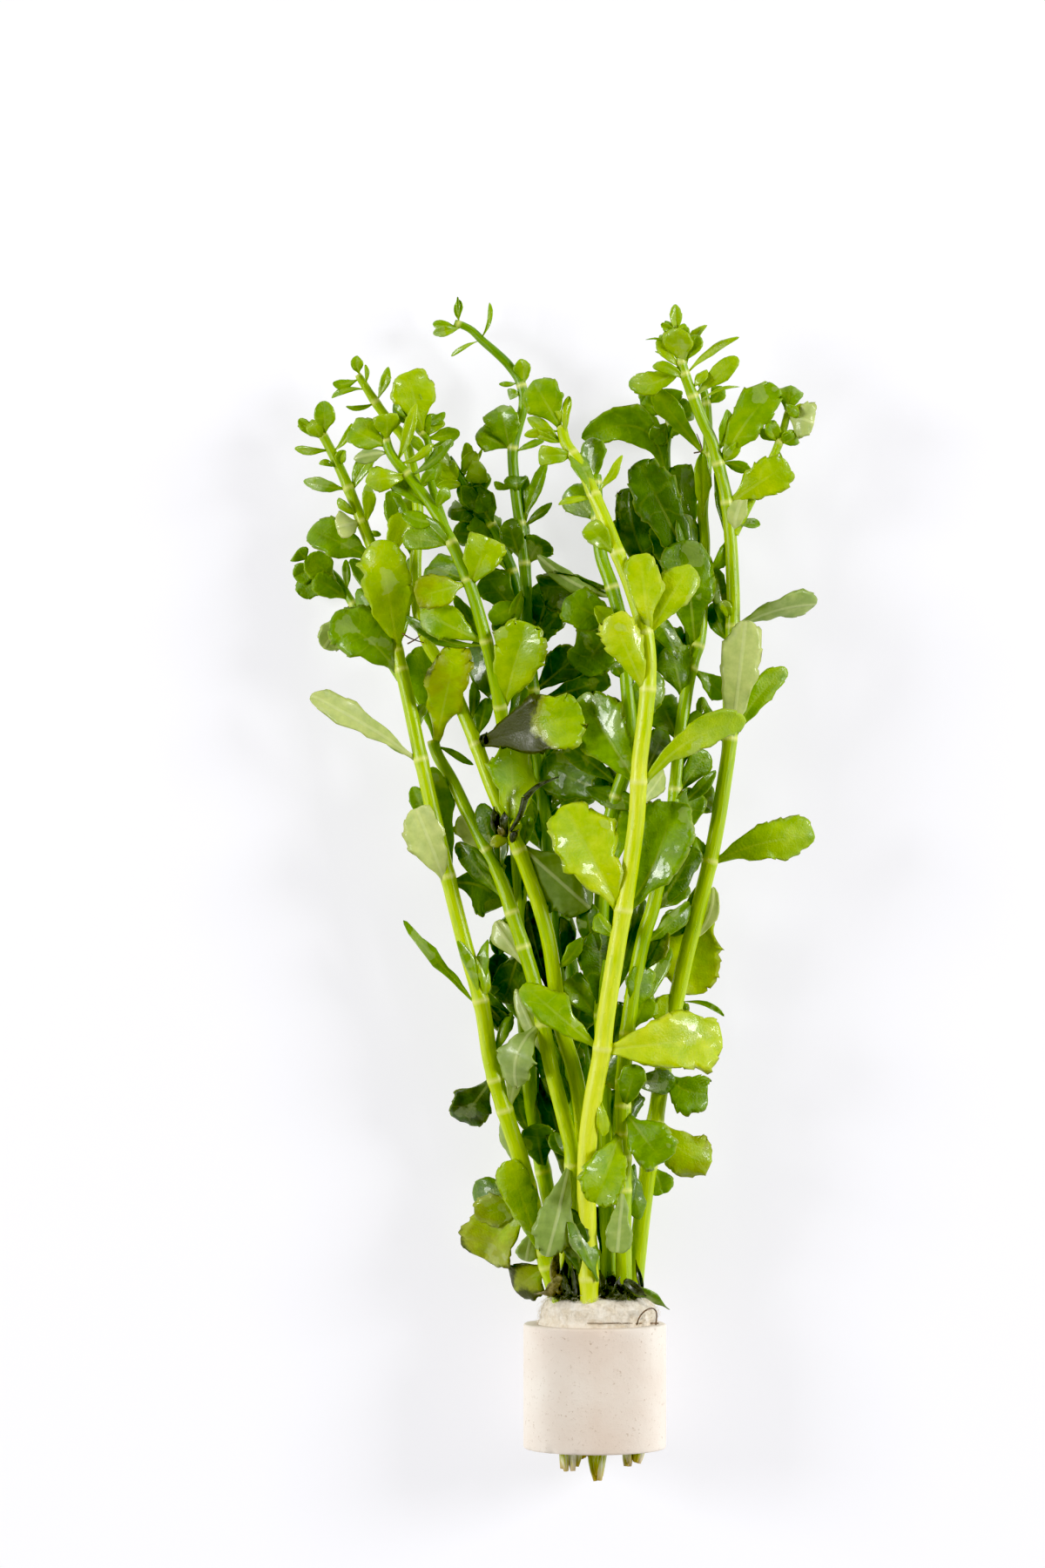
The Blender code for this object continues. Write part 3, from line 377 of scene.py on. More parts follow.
# Leaves whose solids are one piece with their stem: base row, tip column, tip row, width,
# arch in mm, sway in columns, tone, decay
GROWN_LEAVES = {
    "stem_01": [
        (500, 370, 461, 22, 1, 0, 0.58, 0), (502, 343, 481, 13, 0, 0, 0.58, 0),
        (560, 348, 552, 16, 1, 0, 0.53, 0), (563, 432, 520, 19, 0, 0, 0.58, 0),
        (598, 386, 606, 32, 1, 0, -0.88, 0), (640, 356, 607, 43, 1, 0, 0.5, 0),
        (655, 477, 568, 30, 4, 0, 0.76, 0), (770, 381, 708, 60, 1, 6, 0.44, 0),
        (1008, 497, 880, 34, 0, 0, 0.5, 0), (1152, 463, 1057, 14, 0, -5, 0.4, 0),
        (1150, 525, 1080, 13, 0, 0, 0.5, 0), (1238, 528, 1288, 52, 0, 0, 0.15, 0),
        (1276, 598, 1200, 29, 0, 0, -0.6, 0), (1362, 542, 1369, 31, 1, 0, 0.35, 0)],
    "stem_02": [
        (856, 525, 741, 50, 3, 0, 0.78, 0.35), (852, 482, 742, 44, 0, 0, 0.49, 0),
        (978, 530, 935, 34, 0, 0, -0.8, 0), (1088, 578, 1152, 40, 0, 0, 0.2, 0),
        (1046, 572, 1095, 22, 0, 0, 0.3, 0), (1176, 594, 1248, 40, 4, 12, -0.5, 0)],
    "stem_03": [
        (431, 410, 408, 14, 0, 0, 0.58, 0), (433, 382, 440, 13, 0, 0, 0.58, 0),
        (462, 446, 421, 11, 0, 0, 0.58, 0), (975, 678, 1043, 64, 1, 0, -0.15, 0),
        (956, 585, 854, 54, 1, 0, 0.6, 0), (978, 606, 937, 20, 0, 0, 0.4, 0)],
    "stem_04": [
        (506, 444, 475, 30, 0, 0, 0.63, 0), (512, 402, 493, 38, 1, 0, 0.58, 0),
        (545, 420, 553, 32, 2, 0, 0.68, 0), (622, 463, 617, 28, 0, 0, 0.56, 0),
        (667, 492, 650, 36, 0, 0, 0.34, 0), (815, 545, 736, 38, 0, 0, 0.24, 0),
        (1345, 615, 1290, 42, 0, 0, 0.3, 0)],
    "stem_05": [
        (575, 553, 540, 24, 0, 0, 0.23, 0), (600, 528, 598, 26, 0, 0, 0.28, 0),
        (655, 550, 590, 46, 0, 0, 0.44, 0), (657, 560, 670, 31, 0, 0, 0.24, 0)],
    "stem_06": [
        (371, 497, 371, 12, 0, 0, 0.58, 0), (372, 528, 344, 10, 0, 0, 0.53, 0),
        (445, 597, 412, 19, 0, 0, 0.58, 0), (513, 575, 465, 43, 1, 0, 0.5, 0),
        (515, 547, 497, 31, 0, 0, 0.46, 0), (600, 628, 530, 14, 0, 0, 0.4, 0),
        (645, 622, 618, 40, 0, 0, 0.28, 0), (790, 668, 750, 46, 0, 0, 0.18, 0)],
    "stem_07": [
        (552, 680, 502, 31, 0, 0, 0.38, 0), (595, 653, 560, 38, 0, 0, 0.36, 0),
        (682, 617, 637, 20, 0, 0, -0.24, 0), (676, 620, 672, 50, 0, 0, 0.16, 0),
        (708, 667, 772, 57, 0, 0, 0.34, 0), (916, 622, 880, 54, 0, 0, 0.3, 0),
        (1166, 688, 1066, 46, 0, 0, 0.22, 0), (1010, 712, 925, 34, 0, 0, 0.5, 0)],
    "stem_08": [
        (502, 654, 455, 11, 0, 0, 0.68, 0), (570, 715, 522, 11, 0, 0, 0.68, 0)],
    "stem_09": [
        (462, 829, 443, 22, 0, 0, 0.58, 0), (520, 750, 447, 26, 0, 0, 0.5, 0),
        (768, 757, 725, 51, 0, 0, 0.29, 0), (767, 833, 800, 24, 0, 0, 0.4, 0),
        (850, 757, 800, 51, 0, 0, 0.35, 0), (906, 812, 862, 26, 0, 0, 0.4, 0),
        (935, 820, 905, 37, 0, 0, 0.4, 0), (1185, 738, 1115, 33, 0, 0, 0.4, 0),
        (1240, 776, 1240, 29, 0, 0, 0.3, 0), (1330, 735, 1400, 24, 0, 0, 0.4, 0)],
    "stem_10": [
        (388, 776, 349, 14, 0, 0, 0.68, 0), (415, 777, 377, 34, 0, 0, 0.7, 0),
        (392, 757, 385, 14, 0, 0, 0.58, 0), (425, 812, 373, 13, 0, 0, 0.68, 0),
        (430, 849, 387, 10, 0, -3, 0.68, 0), (455, 847, 410, 25, 0, 0, 0.64, 0),
        (533, 863, 543, 14, 0, 0, 0.48, 0), (992, 812, 1064, 20, 0, 0, 0.4, 0),
        (1340, 762, 1370, 29, 0, 0, 0.5, 0)],
    "shoot_01": [
        (644, 341, 632, 26, 0, 0, 0.44, 0), (648, 337, 662, 22, 0, 0, 0.46, 0),
        (655, 343, 683, 34, 0, 0, 0.4, 0), (695, 372, 745, 32, 0, 0, -0.64, 0)],
    "shoot_02": [
        (496, 467, 427, 52, 1, 0, 0.74, 0), (505, 528, 496, 20, 0, 0, 0.58, 0)],
    "shoot_03": [
        (455, 736, 470, 30, 0, 0, 0.48, 0), (485, 747, 507, 27, 0, 0, 0.46, 0),
        (700, 722, 560, 50, 0, -18, 0.22, 0), (640, 784, 533, 50, 0, 0, 0.34, 0),
        (560, 668, 503, 40, 1, 45, 0.44, 0)],
    "shoot_04": [
        (505, 872, 492, 13, 0, 0, 0.58, 0)],
}

# Buds and slivers too small for a solid: base row, tip column, tip row, width, rise in mm, tone,
# decay
SLIVERS = {
    "stem_01": [
        (537, 366, 532, 9, 1, 0.58, 0), (535, 395, 517, 13, 1, 0.58, 0), (588, 388, 572, 12, 1, 0.58, 0),
        (603, 422, 555, 16, 1, 0.63, 0), (495, 342, 489, 7, 0, 0.58, 0),
        (514, 338, 515, 10, -1, 0.58, 0), (520, 404, 486, 9, 1, 0.63, 0),
        (738, 470, 690, 14, 1, 0.64, 0), (1155, 583, 1186, 18, -3, 0.15, 0),
        (1150, 560, 1078, 15, 1, 0.5, 0), (1345, 576, 1285, 18, 0, -0.5, 0),
        (503, 358, 481, 19, 1, 0.63, 0), (610, 437, 614, 8, 0, 0.58, 0),
        (940, 474, 903, 22, -2, 0.45, 0), (868, 440, 846, 8, 0, -0.5, 0),
        (1150, 546, 1098, 14, 1, 0.6, 0), (1130, 584, 1186, 26, -3, 0.3, 0),
        (1410, 604, 1448, 26, 0, -0.5, 0), (1380, 546, 1398, 40, -1, 0.62, 0.3),
        (1155, 577, 1094, 26, -4, 0.2, 0), (1215, 588, 1162, 14, -1, 0.45, 0),
        (700, 402, 642, 22, -3, 0.42, 0), (745, 410, 676, 26, -3, 0.4, 0),
        (840, 490, 806, 16, -2, 0.45, 0)],
    "stem_02": [
        (858, 544, 878, 9, 1, 0.4, 0), (990, 552, 922, 24, -1, 0.22, 0),
        (1110, 568, 1058, 26, -2, -0.8, 0), (1215, 592, 1135, 20, -2, -0.7, 0),
        (1000, 572, 932, 22, -2, 0.15, 0), (1030, 524, 968, 24, -3, 0.3, 0),
        (1010, 524, 968, 14, -2, 0.3, 0), (1330, 636, 1300, 18, -3, 0.3, 0)],
    "stem_03": [
        (440, 419, 419, 6, 1, 0.58, 0), (462, 397, 467, 7, 0, 0.58, 0), (965, 563, 970, 15, 1, 0.7, 0.4),
        (447, 381, 457, 9, -1, 0.58, 0), (640, 447, 564, 26, -1, 0.5, 0),
        (968, 593, 938, 13, 1, 0.78, 0), (1115, 669, 1076, 18, 1, 0.55, 0),
        (560, 506, 532, 14, -1, 0.48, 0), (1210, 626, 1140, 30, -3, 0.25, 0),
        (625, 446, 572, 24, -1, 0.46, 0), (830, 545, 780, 14, -1, 0.34, 0),
        (1150, 606, 1034, 22, -4, 0.12, 0), (1385, 622, 1236, 30, -6, 0.12, 0),
        (845, 560, 802, 22, -2, 0.35, 0), (700, 470, 640, 16, -2, 0.5, 0)],
    "stem_04": [
        (518, 406, 527, 17, 0, -0.58, 0), (736, 522, 683, 15, -2, 0.44, 0),
        (588, 515, 560, 15, 1, 0.53, 0), (560, 500, 540, 13, 1, 0.48, 0),
        (580, 450, 552, 28, -3, 0.46, 0), (530, 478, 463, 14, 2, 0.7, 0),
        (535, 498, 509, 12, 1, 0.74, 0), (548, 519, 504, 14, 0, 0.43, 0),
        (628, 486, 597, 18, -1, 0.43, 0), (600, 462, 590, 20, -1, 0.5, 0),
        (1050, 588, 982, 28, 0, 0.28, 0), (1300, 600, 1213, 28, -1, 0.28, 0),
        (880, 612, 832, 30, -1, 0.22, 0), (1180, 588, 1120, 28, -1, 0.3, 0),
        (845, 598, 785, 22, -2, 0.34, 0), (1310, 592, 1254, 18, 0, 0.3, 0),
        (740, 466, 706, 14, -3, 0.35, 0)],
    "stem_05": [
        (590, 525, 560, 22, 1, 0.23, 0), (585, 560, 565, 20, 1, 0.28, 0), (610, 545, 575, 22, 0, 0.2, 0),
        (545, 547, 520, 16, 2, 0.58, 0), (548, 554, 515, 4, 2, 0.53, 0), (552, 559, 540, 28, 2, 0.58, 0),
        (562, 560, 584, 26, 1, 0.3, 0), (556, 502, 559, 14, 1, 0.58, 0), (582, 514, 588, 28, 0, 0.2, 0),
        (590, 534, 556, 30, 1, 0.22, 0), (605, 541, 560, 34, 1, 0.26, 0), (705, 557, 660, 38, 1, 0.4, 0),
        (612, 520, 612, 30, 0, 0.24, 0), (640, 600, 596, 30, 1, 0.28, 0),
        (760, 575, 705, 34, 0, 0.29, 0), (870, 652, 812, 36, 0, 0.2, 0), (960, 600, 900, 36, 0, 0.24, 0),
        (1020, 668, 966, 38, 0, 0.2, 0), (1110, 640, 1050, 36, 0, 0.16, 0),
        (1230, 690, 1166, 36, 0, 0.2, 0), (1240, 640, 1180, 34, 0, 0.2, 0),
        (545, 500, 512, 20, 2, 0.63, 0), (548, 512, 530, 22, 1, 0.58, 0),
        (556, 494, 540, 20, 0, 0.53, 0), (550, 535, 508, 14, 1, 0.58, 0), (930, 648, 882, 30, 0, 0.2, 0),
        (945, 690, 892, 30, -2, 0.25, 0), (985, 606, 950, 18, 0, 0.3, 0),
        (870, 636, 838, 24, -2, 0.2, 0)],
    "stem_06": [
        (374, 497, 383, 11, 0, 0.58, 0), (372, 525, 341, 3, 1, 0.48, 0), (440, 573, 441, 7, 0, 0.48, 0),
        (520, 625, 506, 9, 1, 0.48, 0), (562, 567, 553, 10, 0, 0.43, 0), (565, 592, 546, 24, 1, 0.23, 0),
        (605, 634, 577, 11, 0, 0.28, 0), (390, 562, 347, 6, 1, 0.58, 0), (389, 518, 409, 6, -1, 0.58, 0),
        (450, 584, 456, 15, 0, 0.5, 0), (640, 583, 597, 28, 0, 0.36, 0), (690, 562, 712, 24, 2, 0.46, 0),
        (672, 586, 722, 15, 2, 0.49, 0), (745, 633, 668, 42, -1, 0.2, 0),
        (748, 632, 708, 30, 0, 0.36, 0), (935, 656, 860, 48, 0, 0.26, 0),
        (930, 600, 862, 32, -2, 0.3, 0), (1000, 629, 924, 36, -1, 0.25, 0),
        (1120, 640, 1052, 36, 0, 0.15, 0), (1290, 622, 1190, 32, 0, 0.22, 0),
        (1060, 606, 990, 30, 0, 0.25, 0), (1210, 670, 1130, 34, 0, 0.2, 0),
        (805, 700, 778, 26, 1, 0.24, 0), (610, 604, 546, 16, -1, 0.45, 0),
        (740, 646, 700, 26, 0, 0.25, 0)],
    "stem_07": [
        (1168, 655, 1122, 33, -1, 0.4, 0), (720, 648, 688, 46, 0, 0.4, 0),
        (742, 683, 696, 20, 2, 0.62, 0), (860, 702, 800, 36, -2, 0.2, 0),
        (935, 700, 880, 38, -2, 0.2, 0), (840, 752, 770, 40, -1, 0.34, 0),
        (1100, 720, 1030, 34, -1, 0.28, 0), (1220, 712, 1150, 36, -1, 0.3, 0),
        (1320, 708, 1250, 26, 0, 0.3, 0), (900, 648, 852, 28, -2, 0.3, 0),
        (1110, 672, 1034, 26, 2, 0.22, 0), (1165, 738, 1030, 26, -3, 0.25, 0),
        (1455, 685, 1385, 12, 0, 0.1, 0), (780, 704, 760, 14, 0, 0.3, 0)],
    "stem_08": [
        (492, 636, 463, 8, 1, 0.68, 0), (495, 602, 500, 11, 0, 0.58, 0),
        (1262, 693, 1304, 15, 0, 0.8, 0), (573, 642, 580, 9, 0, 0.68, 0),
        (1075, 686, 1049, 22, -2, 0.55, 0), (895, 764, 838, 30, -8, 0.22, 0),
        (925, 762, 886, 26, -7, -0.7, 0), (505, 606, 480, 16, -2, 0.58, 0),
        (508, 612, 494, 10, -1, 0.58, 0), (575, 655, 522, 22, -2, 0.58, 0)],
    "stem_09": [
        (1040, 790, 1015, 24, -1, 0.42, 0), (1120, 762, 1070, 37, -2, 0.25, 0.3),
        (1180, 742, 1145, 32, -1, 0.52, 0), (1195, 705, 1250, 37, -2, 0.25, 0.2),
        (600, 806, 520, 19, 2, 0.6, 0), (800, 771, 742, 46, -1, 0.36, 0),
        (1040, 799, 973, 36, -1, 0.3, 0), (1165, 739, 1108, 32, 0, 0.45, 0),
        (880, 800, 815, 32, -1, 0.34, 0), (700, 770, 655, 40, -1, 0.34, 0),
        (960, 800, 908, 34, -1, 0.45, 0), (660, 782, 590, 30, -1, 0.33, 0),
        (925, 822, 884, 14, 0, 0.4, 0), (770, 752, 702, 24, 0, 0.34, 0),
        (1080, 792, 1038, 24, -3, 0.4, 0), (1165, 766, 1084, 24, -4, 0.42, 0),
        (1295, 730, 1250, 28, -3, 0.2, 0), (1400, 728, 1336, 14, -2, 0.3, 0),
        (940, 672, 905, 22, -2, 0.3, 0)],
    "stem_10": [
        (390, 760, 372, 10, 1, 0.58, 0), (420, 790, 375, 16, 2, 0.58, 0), (398, 741, 390, 3, 0, 0.48, 0),
        (462, 850, 444, 4, 0, 0.58, 0), (530, 847, 508, 15, 1, 0.53, 0), (520, 835, 470, 15, 1, 0.48, 0),
        (620, 815, 655, 15, -1, 0.44, 0), (710, 828, 690, 13, 1, 0.64, 0),
        (990, 800, 960, 13, -1, 0.5, 0), (1150, 831, 1167, 6, 0, 0.3, 0),
        (1190, 772, 1143, 44, -2, 0.35, 0), (385, 764, 369, 11, 0, 0.53, 0),
        (415, 786, 371, 17, 1, 0.58, 0), (415, 801, 384, 19, 1, 0.58, 0),
        (418, 757, 387, 17, 0, 0.64, 0), (420, 752, 403, 4, 0, 0.58, 0), (432, 749, 421, 15, 1, 0.58, 0),
        (445, 812, 424, 13, 0, 0.58, 0), (612, 856, 567, 23, 1, -0.78, 0),
        (600, 872, 601, 11, -1, 0.38, 0), (1075, 819, 1018, 22, -1, -0.9, 0),
        (1190, 768, 1141, 38, 1, 0.62, 0), (1040, 762, 1070, 34, -2, 0.35, 0),
        (735, 822, 650, 20, -2, 0.34, 0), (650, 822, 540, 20, -3, 0.23, 0),
        (735, 818, 692, 18, -3, 0.4, 0), (850, 806, 800, 20, -1, 0.45, 0)],
    "shoot_01": [
        (650, 352, 640, 11, 1, 0.39, 0), (665, 360, 662, 28, 0, 0.39, 0),
        (668, 352, 640, 30, 2, 0.49, 0), (688, 361, 663, 28, 2, 0.46, 0),
        (680, 397, 642, 10, 1, 0.34, 0)],
    "shoot_02": [
        (485, 452, 462, 22, 0, 0.23, 0), (490, 511, 473, 11, 1, 0.53, 0),
        (515, 521, 508, 11, 0, 0.48, 0), (490, 478, 463, 6, 1, 0.58, 0), (478, 453, 470, 15, 2, 0.38, 0),
        (482, 478, 449, 18, 2, 0.63, 0), (480, 455, 461, 14, 3, 0.5, 0), (520, 470, 500, 14, 1, 0.58, 0),
        (500, 505, 478, 22, 0, 0.63, 0)],
    "shoot_03": [
        (460, 781, 470, 20, 0, 0.38, 0), (470, 736, 462, 30, 1, 0.48, 0),
        (488, 748, 506, 27, 1, 0.48, 0), (482, 797, 468, 30, 1, 0.36, 0),
        (478, 770, 446, 28, 2, 0.44, 0), (492, 778, 500, 18, 1, 0.5, 0), (690, 752, 604, 28, 0, 0.38, 0),
        (505, 742, 478, 22, 1, 0.53, 0)],
    "shoot_04": [
        (474, 925, 468, 11, 1, 0.78, 0), (505, 915, 497, 20, 1, 0.48, 0), (516, 912, 550, 6, 0, 0.48, 0),
        (476, 911, 465, 19, 2, 0.6, 0), (508, 887, 482, 16, 1, 0.58, 0), (508, 912, 494, 19, 1, 0.58, 0)],
}

print("leaves:", len(LARGE_LEAVES), "large,", sum(map(len, GROWN_LEAVES.values())), "grown,",
      sum(map(len, SLIVERS.values())), "slivers")

# %% [markdown]
# ## Leaf flesh
# A water hyssop leaf is thick and juicy, a wet yellow-green on top with a paler midrib and faint
# slanting veins. One material serves all leaves: each leaf carries its own tone as an attribute,
# from dark to bright, and its share of decay, which browns it in blotches. The low tones of leaves
# deep in the bunch are partly their own colour and partly painted shade, and pale patches of
# painted sheen are mixed into the colour. Two more attributes, across and along, say where a point
# is on the blade, so that the veins follow each leaf.

# %% Leaf, upper side
def leaf_upper_side():
    """Wet, fleshy leaf: a soft sheen from the skin, sharp glints from the film of moisture, and pale patches of
    painted sheen in its colour.
    """
    material = bpy.data.materials.new("hyssop leaf, upper side")
    material.use_nodes = True
    tree = material.node_tree
    skin = tree.nodes["Principled BSDF"]
    place = out(add_node(tree, "ShaderNodeTexCoord"), "Object")
    read = {name: out(add_node(tree, "ShaderNodeAttribute", attribute_name=name), "Fac")
            for name in ("across", "along", "half_width", "tone", "decay")}

    mottle = out(add_node(tree, "ShaderNodeTexNoise",
                          {"Vector": place, "Scale": 420.0, "Detail": 4.0, "Roughness": 0.6}), "Fac")
    cloud = out(add_node(tree, "ShaderNodeTexNoise", {"Vector": place, "Scale": 90.0, "Detail": 2.0}), "Fac")
    uneven = add_node(tree, "ShaderNodeMath", {0: mottle, 1: cloud}, operation="ADD").outputs[0]
    uneven = add_node(tree, "ShaderNodeMapRange", {"Value": uneven, "From Min": 0.7, "From Max": 1.3,
                                                   "To Min": -0.13, "To Max": 0.13}).outputs[0]
    tone = add_node(tree, "ShaderNodeMath", {0: read["tone"], 1: uneven}, operation="ADD").outputs[0]
    ramp = add_node(tree, "ShaderNodeValToRGB", {"Fac": tone})
    stops = ramp.color_ramp.elements
    stops[0].position, stops[0].color = 0.0, linear("#1B2F00")
    stops[1].position, stops[1].color = 1.0, linear("#CAD42C")
    for position, code in ((0.25, "#426600"), (0.5, "#749A02"), (0.75, "#A0BA0C")):
        stops.new(position).color = linear(code)

    size = add_node(tree, "ShaderNodeMath", {0: read["across"]}, operation="ABSOLUTE").outputs[0]
    off_midrib = add_node(tree, "ShaderNodeMath", {0: size, 1: read["half_width"]},
                          operation="MULTIPLY").outputs[0]
    midrib = add_node(tree, "ShaderNodeMapRange", {"Value": off_midrib, "From Min": 0.00010,
                                                   "From Max": 0.00034, "To Min": 1.0, "To Max": 0.0},
                      interpolation_type="SMOOTHSTEP").outputs[0]
    fading = add_node(tree, "ShaderNodeMapRange", {"Value": read["along"], "From Min": 0.35,
                                                   "From Max": 0.95, "To Min": 0.2, "To Max": 0.0}).outputs[0]
    midrib = add_node(tree, "ShaderNodeMath", {0: midrib, 1: fading}, operation="MULTIPLY").outputs[0]
    wander = add_node(tree, "ShaderNodeMath", {0: cloud, 1: 1.6, 2: read["along"]}, operation="MULTIPLY_ADD")
    repeat = add_node(tree, "ShaderNodeMath", {0: wander.outputs[0], 1: 7.0}, operation="MULTIPLY").outputs[0]
    ridge = add_node(tree, "ShaderNodeMath", {0: repeat, 1: 1.0}, operation="PINGPONG").outputs[0]
    vein = add_node(tree, "ShaderNodeMapRange", {"Value": ridge, "From Min": 0.0, "From Max": 0.22,
                                                 "To Min": 0.07, "To Max": 0.0},
                    interpolation_type="SMOOTHSTEP").outputs[0]
    veins = add_node(tree, "ShaderNodeMath", {0: midrib, 1: vein}, operation="MAXIMUM").outputs[0]
    veined = add_node(tree, "ShaderNodeMix", {0: veins, "A": ramp.outputs["Color"],
                                              "B": linear("#C9D36A")}, data_type="RGBA")
    margin = add_node(tree, "ShaderNodeMapRange", {"Value": size, "From Min": 0.90, "From Max": 1.0,
                                                   "To Min": 0.0, "To Max": 0.35}).outputs[0]
    edged = add_node(tree, "ShaderNodeMix", {0: margin, "A": out(veined, "Result"),
                                             "B": linear("#B9C95A")}, data_type="RGBA")

    blotch = out(add_node(tree, "ShaderNodeTexNoise",
                          {"Vector": place, "Scale": 230.0, "Detail": 5.0, "Roughness": 0.65}), "Fac")
    rim = add_node(tree, "ShaderNodeMath", {0: size, 1: size}, operation="MULTIPLY").outputs[0]
    rimmed = add_node(tree, "ShaderNodeMath", {0: rim, 1: 0.7, 2: 0.7}, operation="MULTIPLY_ADD").outputs[0]
    reach = add_node(tree, "ShaderNodeMath", {0: read["decay"], 1: rimmed, 2: blotch},
                     operation="MULTIPLY_ADD").outputs[0]
    yellowed = add_node(tree, "ShaderNodeMapRange", {"Value": reach, "From Min": 0.65, "From Max": 1.0,
                                                     "To Min": 0.0, "To Max": 0.6},
                        interpolation_type="SMOOTHSTEP").outputs[0]
    dying = add_node(tree, "ShaderNodeMix", {0: yellowed, "A": out(edged, "Result"),
                                             "B": linear("#86841A")}, data_type="RGBA")
    rotten = add_node(tree, "ShaderNodeMapRange", {"Value": reach, "From Min": 1.0, "From Max": 1.25,
                                                   "To Min": 0.0, "To Max": 0.9},
                      interpolation_type="SMOOTHSTEP").outputs[0]
    # Pale patches where this noise is high are painted sheen, a painted reflection on the wet skin; the same noise
    # also sets the real gloss and coat below.
    wet_film_and_painted_sheen = out(add_node(tree, "ShaderNodeTexNoise", {"Vector": place, "Scale": 190.0, "Detail": 3.0}), "Fac")
    painted_sheen_share = add_node(tree, "ShaderNodeMapRange", {"Value": wet_film_and_painted_sheen, "From Min": 0.6, "From Max": 0.63,
                                                   "To Min": 0.0, "To Max": 0.22}).outputs[0]
    with_painted_sheen = add_node(tree, "ShaderNodeMix", {0: painted_sheen_share, "A": out(dying, "Result"),
                                              "B": linear("#C3CF8E")}, data_type="RGBA")
    finished = add_node(tree, "ShaderNodeMix", {0: rotten, "A": out(with_painted_sheen, "Result"),
                                                "B": linear("#22260E")}, data_type="RGBA")
    tree.links.new(out(finished, "Result"), skin.inputs["Base Color"])

    gloss = add_node(tree, "ShaderNodeMapRange", {"Value": wet_film_and_painted_sheen, "From Min": 0.5, "From Max": 0.6,
                                                  "To Min": 0.55, "To Max": 0.36}).outputs[0]
    tree.links.new(gloss, skin.inputs["Roughness"])
    skin.inputs["Subsurface Weight"].default_value = 0.12
    skin.inputs["Subsurface Radius"].default_value = (0.6, 1.0, 0.15)
    skin.inputs["Subsurface Scale"].default_value = 0.0008

    wet = add_node(tree, "ShaderNodeMapRange", {"Value": wet_film_and_painted_sheen, "From Min": 0.46, "From Max": 0.62,
                                                "To Min": 0.12, "To Max": 0.5}).outputs[0]
    sound = add_node(tree, "ShaderNodeMath", {0: rotten, 1: -0.9, 2: 1.0}, operation="MULTIPLY_ADD").outputs[0]
    coated = add_node(tree, "ShaderNodeMath", {0: wet, 1: sound}, operation="MULTIPLY").outputs[0]
    tree.links.new(coated, skin.inputs["Coat Weight"])
    skin.inputs["Coat Roughness"].default_value = 0.07
    water = out(add_node(tree, "ShaderNodeTexNoise", {"Vector": place, "Scale": 420.0, "Detail": 1.0}), "Fac")
    ripples = add_node(tree, "ShaderNodeBump", {"Height": water, "Strength": 0.45, "Distance": 0.0005})
    tree.links.new(ripples.outputs["Normal"], skin.inputs["Coat Normal"])

    cells = out(add_node(tree, "ShaderNodeTexNoise", {"Vector": place, "Scale": 2600.0, "Detail": 2.0}), "Fac")
    sunken = add_node(tree, "ShaderNodeMath", {0: veins, 1: -1.2, 2: cells}, operation="MULTIPLY_ADD").outputs[0]
    pillows = add_node(tree, "ShaderNodeMath", {0: cloud, 1: 3.0, 2: sunken}, operation="MULTIPLY_ADD").outputs[0]
    bump = add_node(tree, "ShaderNodeBump", {"Height": pillows, "Strength": 0.5, "Distance": 0.00018})
    tree.links.new(bump.outputs["Normal"], skin.inputs["Normal"])
    return material


LEAF_TOP = leaf_upper_side()
print(LEAF_TOP.name, "has", len(LEAF_TOP.node_tree.nodes), "nodes")

# %% [markdown]
# The underside is a separate, paler material: greyish green, matt, with the midrib standing out.
# A turned leaf shows it, so the two sides are told apart by the faces they are on.

